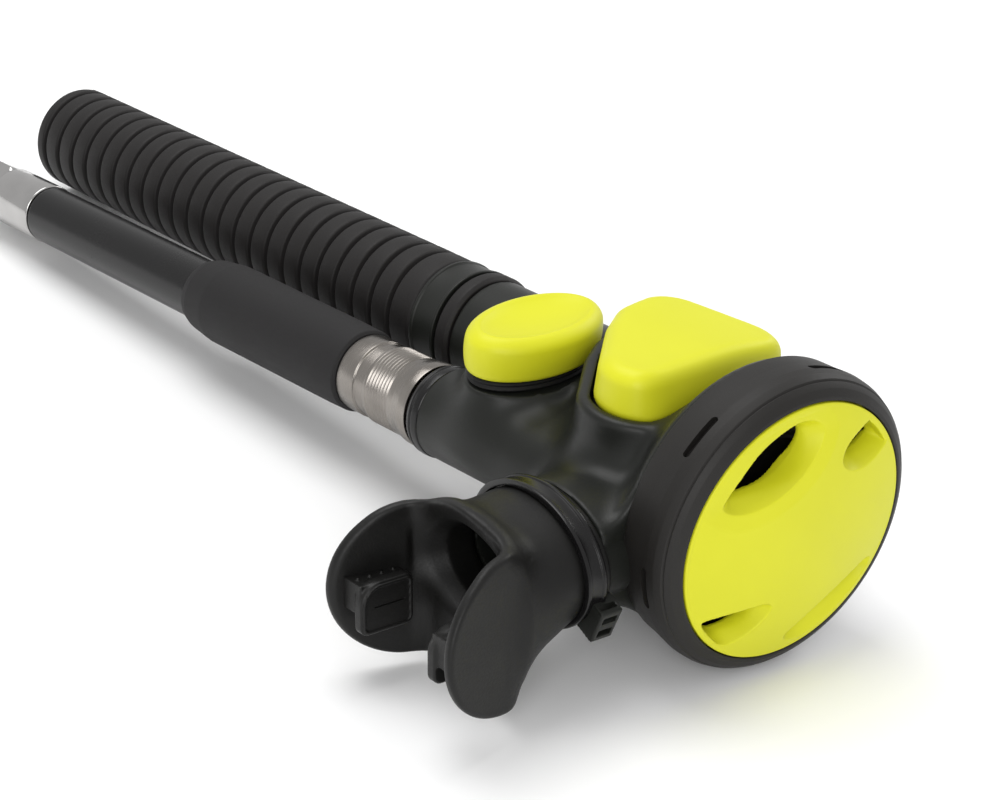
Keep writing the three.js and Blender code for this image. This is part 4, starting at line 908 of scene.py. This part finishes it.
def makeCoverRing(c):
    radius, lip = c["radius"], c["lip"]
    corners = [(0, lip, 0.25), (-0.25, lip + 0.9, 0.3), (-1.1, radius - 2.1, 0.9),
               (-2.2, radius - 1.05, 0.15), (-2.45, radius - 1.35, 0.1),
               (-2.7, radius - 0.75, 0.15), (-4.4, radius - 0.15, 1.6), (-6.5, radius, 2),
               (-10, radius - 0.45, 3),
               (-c["width"] - 0.5, radius - 0.85, 0.4), (-c["width"] - 0.6, radius - 2.4, 0.1),
               (-c["width"], c["inner"], 0), (-8.8, c["inner"], 0), (-8.8, lip, 0),
               (-7.7, lip, 0), (-7.7, c["inner"], 0), (-3, c["inner"], 0), (-3, lip, 0.1)]
    ring = turnedPiece("purge_ring", corners, 3, caseFrame, "ring", "case",
                       "cover_ring", 192, 32)
    cutters = []
    end = c["slotWide"] / 2
    half = c["slotLong"] / 2 - end
    for index in range(c["slots"]):
        angle = math.radians(c["slotFirst"] + 360 / c["slots"] * index)
        outline = []
        for step in range(16):
            turn = tau * step / 16
            side = half if math.cos(turn) >= 0 else -half
            outline.append((side + end * math.cos(turn), c["slotAt"] + end * math.sin(turn)))
        points = [(x, reach * math.cos(angle) - across * math.sin(angle),
                   reach * math.sin(angle) + across * math.cos(angle))
                  for reach in (radius - c["slotDeep"], radius + 2) for across, x in outline]
        cutters.append((points, gridFaces(2, 16, False)))
    carve(ring, cutters)


cover = {
    "edge": 28.3, "crown": 4.2, "thick": 1.7, "flange": 29.9, "scoopDeep": 4.0, "lip": 1.2,
    "wall": 1.4, "back": -4.5, "flangeFront": -3.3,
    # a slight bevel round the large scoop
    "bevelWide": 3.2, "bevelDeep": 0.5,
    # outlines of the scoops and of the holes at their feet, in the plane of the cover
    "scoops": [
        [(-21.8, 11.1), (-19.1, 9.4), (-15.5, 9.0), (-10.6, 9.9), (-5.4, 12.2), (-0.7, 15.6),
         (2.5, 19.2), (3.9, 22.6), (2.6, 24.7), (-0.3, 25.8), (-3.4, 25.8), (-10.1, 23.5),
         (-15.8, 19.7), (-19.9, 14.4), (-21.5, 12.6)],
        [(7.9, 16.1), (8.0, 14.1), (11.0, 12.0), (14.9, 11.6), (19.8, 13.0), (23.3, 15.4),
         (23.0, 16.8), (16.5, 22.0), (14.5, 21.1), (9.8, 18.9)],
        [(-23.1, -13.8), (-19.9, -19.6), (-15.1, -22.0), (-10.0, -19.8), (-6.8, -17.0),
         (-5.6, -13.9), (-8.1, -12.3), (-13.2, -12.6), (-19.8, -13.1)],
        [(0.0, -24.0), (0.9, -25.7), (7.0, -26.4), (13.5, -23.8), (19.3, -19.4), (23.4, -14.2),
         (23.7, -12.2), (22.0, -11.0), (17.8, -12.5), (11.5, -15.7), (4.6, -20.1)]],
    "holes": [
        [(-17.7, 11.8), (-13.7, 11.8), (-8.7, 12.5), (-4.1, 14.3), (-1.0, 17.2), (0.4, 20.4),
         (0.0, 22.8), (-3.6, 24.2), (-9.8, 22.0), (-15.2, 18.2), (-18.6, 13.8)],
        [(9.8, 16.4), (11.0, 14.9), (14.0, 13.7), (18.2, 14.4), (21.0, 15.9), (20.3, 17.5),
         (16.2, 20.3), (14.4, 19.7), (11.2, 18.2)],
        [(-21.0, -16.5), (-16.9, -19.4), (-11.0, -18.1), (-8.8, -16.4), (-8.6, -14.1),
         (-13.8, -13.8), (-19.8, -14.3), (-21.7, -15.0)],
        [(4.2, -22.6), (12.5, -18.6), (20.5, -14.2), (20.2, -13.5), (11.9, -17.2),
         (4.2, -21.9)]],
}


# distance to a convex outline, with its corners softened
def softOutline(a, b, corners, soft=0.5):
    total = 0
    for (ax, ay), (bx, by) in zip(corners, corners[1:] + corners[:1]):
        size = math.hypot(bx - ax, by - ay)
        off = ((b - ay) * (bx - ax) - (a - ax) * (by - ay)) / size
        total = total + np.exp(np.clip(-off / soft, -60, 60))
    return soft * np.log(total)


def crownHeight(rho):
    return cover["crown"] * (1 - (rho / cover["edge"]) ** 2)


def coverTop(y, z):
    c = cover
    top = crownHeight(np.hypot(y, z))
    openings = None
    for index, (outer, inner) in enumerate(zip(c["scoops"], c["holes"])):
        outside = softOutline(y, z, outer)
        hole = softOutline(y, z, inner, 0.4)
        # from 0 at the scoop's edge to 1 at its hole
        inwards = np.clip(-outside, 0, 9)
        top = top - c["scoopDeep"] * inwards / (inwards + np.clip(hole, 0, 9) + 0.05)
        if index == 0:
            top = top - c["bevelDeep"] * np.clip(1 - outside / c["bevelWide"], 0, 1)
        openings = hole if openings is None else np.minimum(openings, hole)
    return top, openings


def coverField(x, y, z):
    c = cover
    rho = np.hypot(y, z)
    top, openings = coverTop(y, z)
    step = 0.15
    slopes = [(coverTop(y + dy, z + dz)[0] - coverTop(y - dy, z - dz)[0]) / (2 * step)
              for dy, dz in ((step, 0), (0, step))]
    steep = np.sqrt(1 + slopes[0] ** 2 + slopes[1] ** 2)
    under = np.minimum(crownHeight(rho) - c["thick"], top - c["lip"] * steep)
    shape = np.maximum((x - top) / steep, (under - x) / steep)
    shape = shared(shape, rho - c["edge"], 0.6)
    skirt = np.minimum(slab(rho - c["edge"], x, c["back"], 0.2, 0.4),
                          slab(rho - c["flange"], x, c["back"], c["flangeFront"], 0.2))
    skirt = np.maximum(skirt, c["edge"] - c["wall"] - rho)
    return np.minimum(without(shape, openings, 0.8), skirt)


def makePurgeCover():
    fieldPiece("purge_button", coverField, (-5.5, -31, -31), (5.5, 31, 31),
               0.25, caseFrame, "yellow", "purge",
               "purge_cover")


print("cover ring and purge cover")
makeCoverRing(coverRing)
makePurgeCover()


mouth = {
    "sleeveFrom": 38.3, "wide": 17.4, "high": 12.5, "boreWide": 12.0, "boreHigh": 8.2,
    "reach": 60.0, "thick": 2.6, "bend": 8.0, "bendAt": 9.5, "lean": 14.0, "lobeReach": 80.0,
    "lobeRound": 18.0, "lobeHigh": 16.7, "drop": 6.0, "roll": 7.0, "backCorner": 4.0,
    "crestWide": 15.0, "crestHigh": 14.6, "bowFrom": 7.0, "bow": 0.6,
    "skirtFrom": 44.0, "skirtTo": 57.5, "skirtWider": 1.1, "skirtHigher": 4.5, "skirtDrop": 5.0,
    "crestEnd": 64.0, "notchAt": 11.5, "sleeveTo": 58.5, "tube": (15.5, 10.6), "tubeTo": 49.3,
    "boreTo": 63.0, "flareFrom": 56.5, "flare": 0.45,
}
bite = {"out": 11.0, "thick": 2.5, "from": 65.5, "to": 78.0, "high": 11.0, "drop": 8.0,
        "bridgeHigh": 6.4, "bridgeDrop": 6.2, "largeCorner": 5.0, "smallCorner": 1.8,
        # dots along the bridge: their radius, how far out, and where along it
        "dot": 0.45, "dotOut": 15.2, "dots": (-4.2, -1.4, 1.4, 4.2)}


# a, b and w turned with the lobes, and the distance from the middle of their wall
def lobeWall(a, b, w):
    c = mouth
    p, q = turned(a, b, c["roll"])
    w = w - c["bow"] * (np.maximum(q - c["bowFrom"], 0) ** 2
                        / (np.abs(q - c["bowFrom"]) + 3))
    dx = np.abs(p) - c["bendAt"]
    dw = w - (c["reach"] - c["thick"] + c["bend"])
    radius = c["bend"] - c["thick"] / 2
    out, ahead = turned(dx, dw, -c["lean"])
    bend = np.where(ahead > 0, out, np.hypot(dx, dw))
    return p, q, w, np.where(dx < 0, -dw, bend) - radius


# a is to the right seen from the case's front, b up and w out of the mouth side
def mouthField(a, b, w):
    c = mouth
    p, q, v, wall = lobeWall(a, b, w)
    mid = c["lobeReach"] - c["lobeRound"]
    height = np.abs(q + c["drop"])
    corner = c["backCorner"]
    back = np.hypot(np.maximum(height - c["lobeHigh"] + corner, 0),
                       np.maximum(mid - 0.5 - v, 0)) - corner
    lobe = np.where(v > mid, oval(v - mid, q + c["drop"], c["lobeRound"], c["lobeHigh"]),
                       np.where(height > c["lobeHigh"] - corner, back,
                                   height - c["lobeHigh"]))
    crest = np.maximum(oval(p, q, c["crestWide"], c["crestHigh"]), v - c["crestEnd"])
    outline = blended(lobe, crest, 4)
    sheet = slab(np.abs(wall) - c["thick"] / 2, outline, -60, 0, 1.1)
    notch = np.abs(p) * 0.68 - (-q - c["notchAt"]) * 0.73
    sheet = without(sheet, notch, 3)
    share = np.clip((w - c["skirtFrom"]) / (c["skirtTo"] - c["skirtFrom"]), 0, 1)
    sleeve = slab(oval(a, b + c["skirtDrop"] * share, c["wide"] + c["skirtWider"] * share,
                       c["high"] + c["skirtHigher"] * share),
                  w, c["sleeveFrom"], c["sleeveTo"], 0.5)
    shape = blended(sleeve, sheet, 7)
    # the room for the case's own tube, and the bore that flares towards the teeth
    room = slab(oval(a, b, *c["tube"]), w, 30, c["tubeTo"], 0.2)
    flare = c["flare"] * np.maximum(w - c["flareFrom"], 0)
    bore = slab(oval(a, b, c["boreWide"] + flare, c["boreHigh"] + flare), w, 30, c["boreTo"],
                0.3)
    return without(np.maximum(shape, -room), bore, 2)


# a lug that the teeth hold and the bridge that carries it
def biteField(a, b, w):
    c = bite
    p, q, v, wall = lobeWall(a, b, w)
    side = np.abs(p)
    half = (c["to"] - c["from"]) / 2
    across = w - (c["from"] + c["to"]) / 2
    above = q + c["drop"]
    corner = np.where((across > 0) & (above > 0), c["largeCorner"], c["smallCorner"])
    flat = rounding(np.abs(across) - half + corner,
                    np.abs(above) - c["high"] / 2 + corner, corner)
    lug = slab(flat, side, c["out"], c["out"] + c["thick"], 0.5)
    # a raised rim and a fine line on the lug's outer face
    rim = slab(np.abs(flat + 0.75) - 0.3, side, c["out"] - 0.3, c["out"] + 1, 0.2)
    line = slab(box(above - 0.3, across + 0.6, 0.14, 3.6), side, c["out"] - 1,
                c["out"] + 0.35, 0.1)
    lug = np.maximum(np.minimum(lug, rim), -line)
    bridge = slab(box(q + c["bridgeDrop"], across, c["bridgeHigh"] / 2, half - 0.6),
                  side, c["out"] + 1, 22, 0.3)
    bridge = np.maximum(bridge, wall)
    top = c["bridgeHigh"] / 2 - c["bridgeDrop"]
    for place in c["dots"]:
        dot = np.sqrt((side - c["dotOut"]) ** 2 + (q - top) ** 2 + (across - place) ** 2)
        bridge = np.minimum(bridge, dot - c["dot"])
    return blended(lug, bridge, 0.8)


# the mouth frame's own axes are a, b and w
def makeMouthpiece():
    fieldPiece("mouth_bit", mouthField, (-25, -32, 37), (25, 19, 82), 0.45, mouthFrame,
               "silicone", "case", "mouthpiece")
    for name, start in (("left", -20), ("right", 8)):
        fieldPiece(f"bite_lug_{name}", biteField, (start, -17, 64.5), (start + 12, 1, 79.5),
                   0.22, mouthFrame, "silicone", "case", "mouthpiece", 40)


tie = {"at": 43.0, "wide": 4.8, "thick": 1.4, "edge": 0.3, "gap": 0.3, "steps": 180, "turn": -19.0,
       # the lock: half height, half width, from and to away from the tube's middle
       "headAt": 41.0, "headHigh": 4.0, "headWide": 5.2, "headFrom": 16.0, "headTo": 21.6,
       # the tail's channel and the two windows over it
       "tailAt": 19.7, "tail": (0.6, 2.0), "windows": (-1.75, 1.75), "window": (0.95, 1.7),
       "windowFloor": 20.2}


def makeTie(c):
    half, steps = c["wide"] / 2, c["steps"]
    section = rounded(bandSection(-half, half, 0, c["thick"], 1.0, 1.2, c["edge"],
                                  (0.2, 0.35, 0.15, 0.15)), 2)
    halfWide, halfHigh = mouth["wide"] + c["gap"], mouth["high"] + c["gap"]
    points = []
    for step in range(steps):
        angle = tau * step / steps
        middle = Vector((halfWide * math.cos(angle), halfHigh * math.sin(angle)))
        out = Vector((math.cos(angle) / halfWide, math.sin(angle) / halfHigh)).normalized()
        for across, high in section:
            points.append((*(middle + out * high), c["at"] + across))
    makePiece("mouth_tie_band", points, flipped(gridFaces(steps, len(section))), mouthFrame,
              "hose", "case", "mouthpiece_tie")

    def headField(a, b, w):
        p, q = turned(a, b, c["turn"])
        w = w - c["headAt"]
        shape = slab(box(q, w, c["headHigh"], c["headWide"] / 2), p, c["headFrom"], c["headTo"],
                     0.5)
        shape = np.maximum(shape, -slab(box(p - c["tailAt"], w, *c["tail"]), q, -9, 9, 0.2))
        for middle in c["windows"]:
            window = slab(box(q - middle, w, *c["window"]), p, c["windowFloor"], 26, 0.2)
            shape = np.maximum(shape, -window)
        return shape

    fieldPiece("mouth_tie_head", headField, (6, -22, 38), (24, 2, 48), 0.3, mouthFrame,
               "body", "case", None, 40)


print("mouthpiece")
makeMouthpiece()
makeTie(tie)


# springs, each coiled from where it is held to where it is pressed
inflateSpringFrame = framed(places["inflate"], 0, -90)
deflateSpringFrame = framed(places["deflate"], 0, -90)
# where each spring is held and pressed along its frame's X, its mean radius, wire, turns,
# the joint that presses it and how far, in millimetres
springs = {
    "poppet": (lpFrame, 32.694, 15.906, 2.7, 0.3, 9, "poppet_lift", 1.069, "case"),
    "collar": (lpFrame, -55.3, -48.22, 7.5, 0.35, 4, "collar_draw", 3.5, "coupler"),
    "check": (lpFrame, -64.198, -59.008, 2.4, 0.35, 4, "check_press", 1.2, "coupler"),
    "inflate": (inflateSpringFrame, 6.802, 15.298, 2.8, 0.4, 6, "inflate_press", 2.5, "case"),
    "deflate": (deflateSpringFrame, 8.503, 22.616, 4.0, 0.5, 7, "deflate_press", 3.0, "case"),
}
coil = {"steps": 24, "wireSides": 10, "flatEnds": 0.6}


def makeSpring(name, place, held, pressed, radius, wire, turns, joint, travel, body):
    side = 1 if pressed > held else -1
    count = turns * coil["steps"]
    run = abs(pressed - held) - 2 * wire
    sides = coil["wireSides"]
    points = []
    for step in range(count + 1):
        # the first and last turns lie nearly flat, as ground ends do
        share = step / count
        ease = share - coil["flatEnds"] * math.sin(tau * share) / tau
        angle = tau * step / coil["steps"]
        for index in range(sides):
            around = tau * index / sides
            reach = radius + wire * math.cos(around)
            points.append((held + side * (wire + run * ease + wire * math.sin(around)),
                           reach * math.cos(angle), reach * math.sin(angle)))
    faces = gridFaces(count + 1, sides, False)
    piece = makePiece(f"{name}_coil", points, faces if side > 0 else flipped(faces), place,
                      "steel", body, f"{name}_spring")
    axis = place.to_3x3() @ Vector((1, 0, 0))
    along(place, held)
    1 - travel / abs(pressed - held)
    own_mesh(piece)


# the middle goes with the plate; the rim, and the wall that the middle sinks along, stay
membrane = {"front": -9.5, "thick": 0.6, "disc": 19.4, "wall": 19.7, "wallEnd": -12.6,
            "fold": 23.2, "foldDeep": 0.9, "bead": 27.4, "rim": 29.9, "rimFront": -9.1,
            "rimBack": -10.1}


def makeDiaphragm(c):
    front, thick = c["front"], c["thick"]
    disc = [(front - thick, 0.02, 0), (front - thick, c["disc"], 0.2), (front, c["disc"], 0.2),
            (front, 17.0, 0.3), (front + 0.15, 16.4, 0.3), (front + 0.15, 0.02, 0)]
    turnedPiece("diaphragm_middle", disc, 3, caseFrame, "silicone", "plate",
                "diaphragm")
    wall, fold = c["wall"], c["fold"]
    rim = [(c["wallEnd"], wall, 0.1), (front - 0.1, wall, 0.3), (front + 0.1, wall + 1.4, 0.8),
           (front - c["foldDeep"] + thick, fold, 1.2), (front + 0.1, c["bead"] - 1.2, 0.8),
           (front, c["bead"], 0.2), (c["rimFront"], c["bead"], 0.1),
           (c["rimFront"], c["rim"], 0.2),
           (c["rimBack"], c["rim"], 0.2), (c["rimBack"], c["bead"] - 0.6, 0.3),
           (front - c["foldDeep"], fold, 1.4), (front - thick, wall + 1.2, 0.6),
           (front - thick - 0.4, wall + 0.45, 0.4), (c["wallEnd"], wall + 0.45, 0.1)]
    turnedPiece("diaphragm_rim", rim, 4, caseFrame, "silicone", "case",
                "diaphragm", 128)


print("springs and diaphragm")
for name, values in springs.items():
    makeSpring(name, *values)
makeDiaphragm(membrane)


# finishes of the pieces that keep their CAD shape
kept = {
    "clear": ["exhaust_valve", "deflate_disc"],
    "steel": ["diaphragm_plate", "inflate_stem", "deflate_stem", "valve_orifice", "poppet",
              "lever_nut", "demand_lever", "qd_nipple",
              "hose_ferrule_near"] + [f"locking_ball_{k}" for k in range(1, 5)],
    "brass": ["inflate_sleeve", "valve_barrel", "check_pin"],
    "rubber": ["inflate_stem_oring", "inflate_seat", "orifice_oring",
               "poppet_seat", "nipple_oring"],
    "body": ["exhaust_cover", "deflate_guide"],
}
for finish, names in kept.items():
    for name in names:
        mesh = bpy.data.objects[name].data
        mesh.materials.clear()
        mesh.materials.append(finishes[finish])
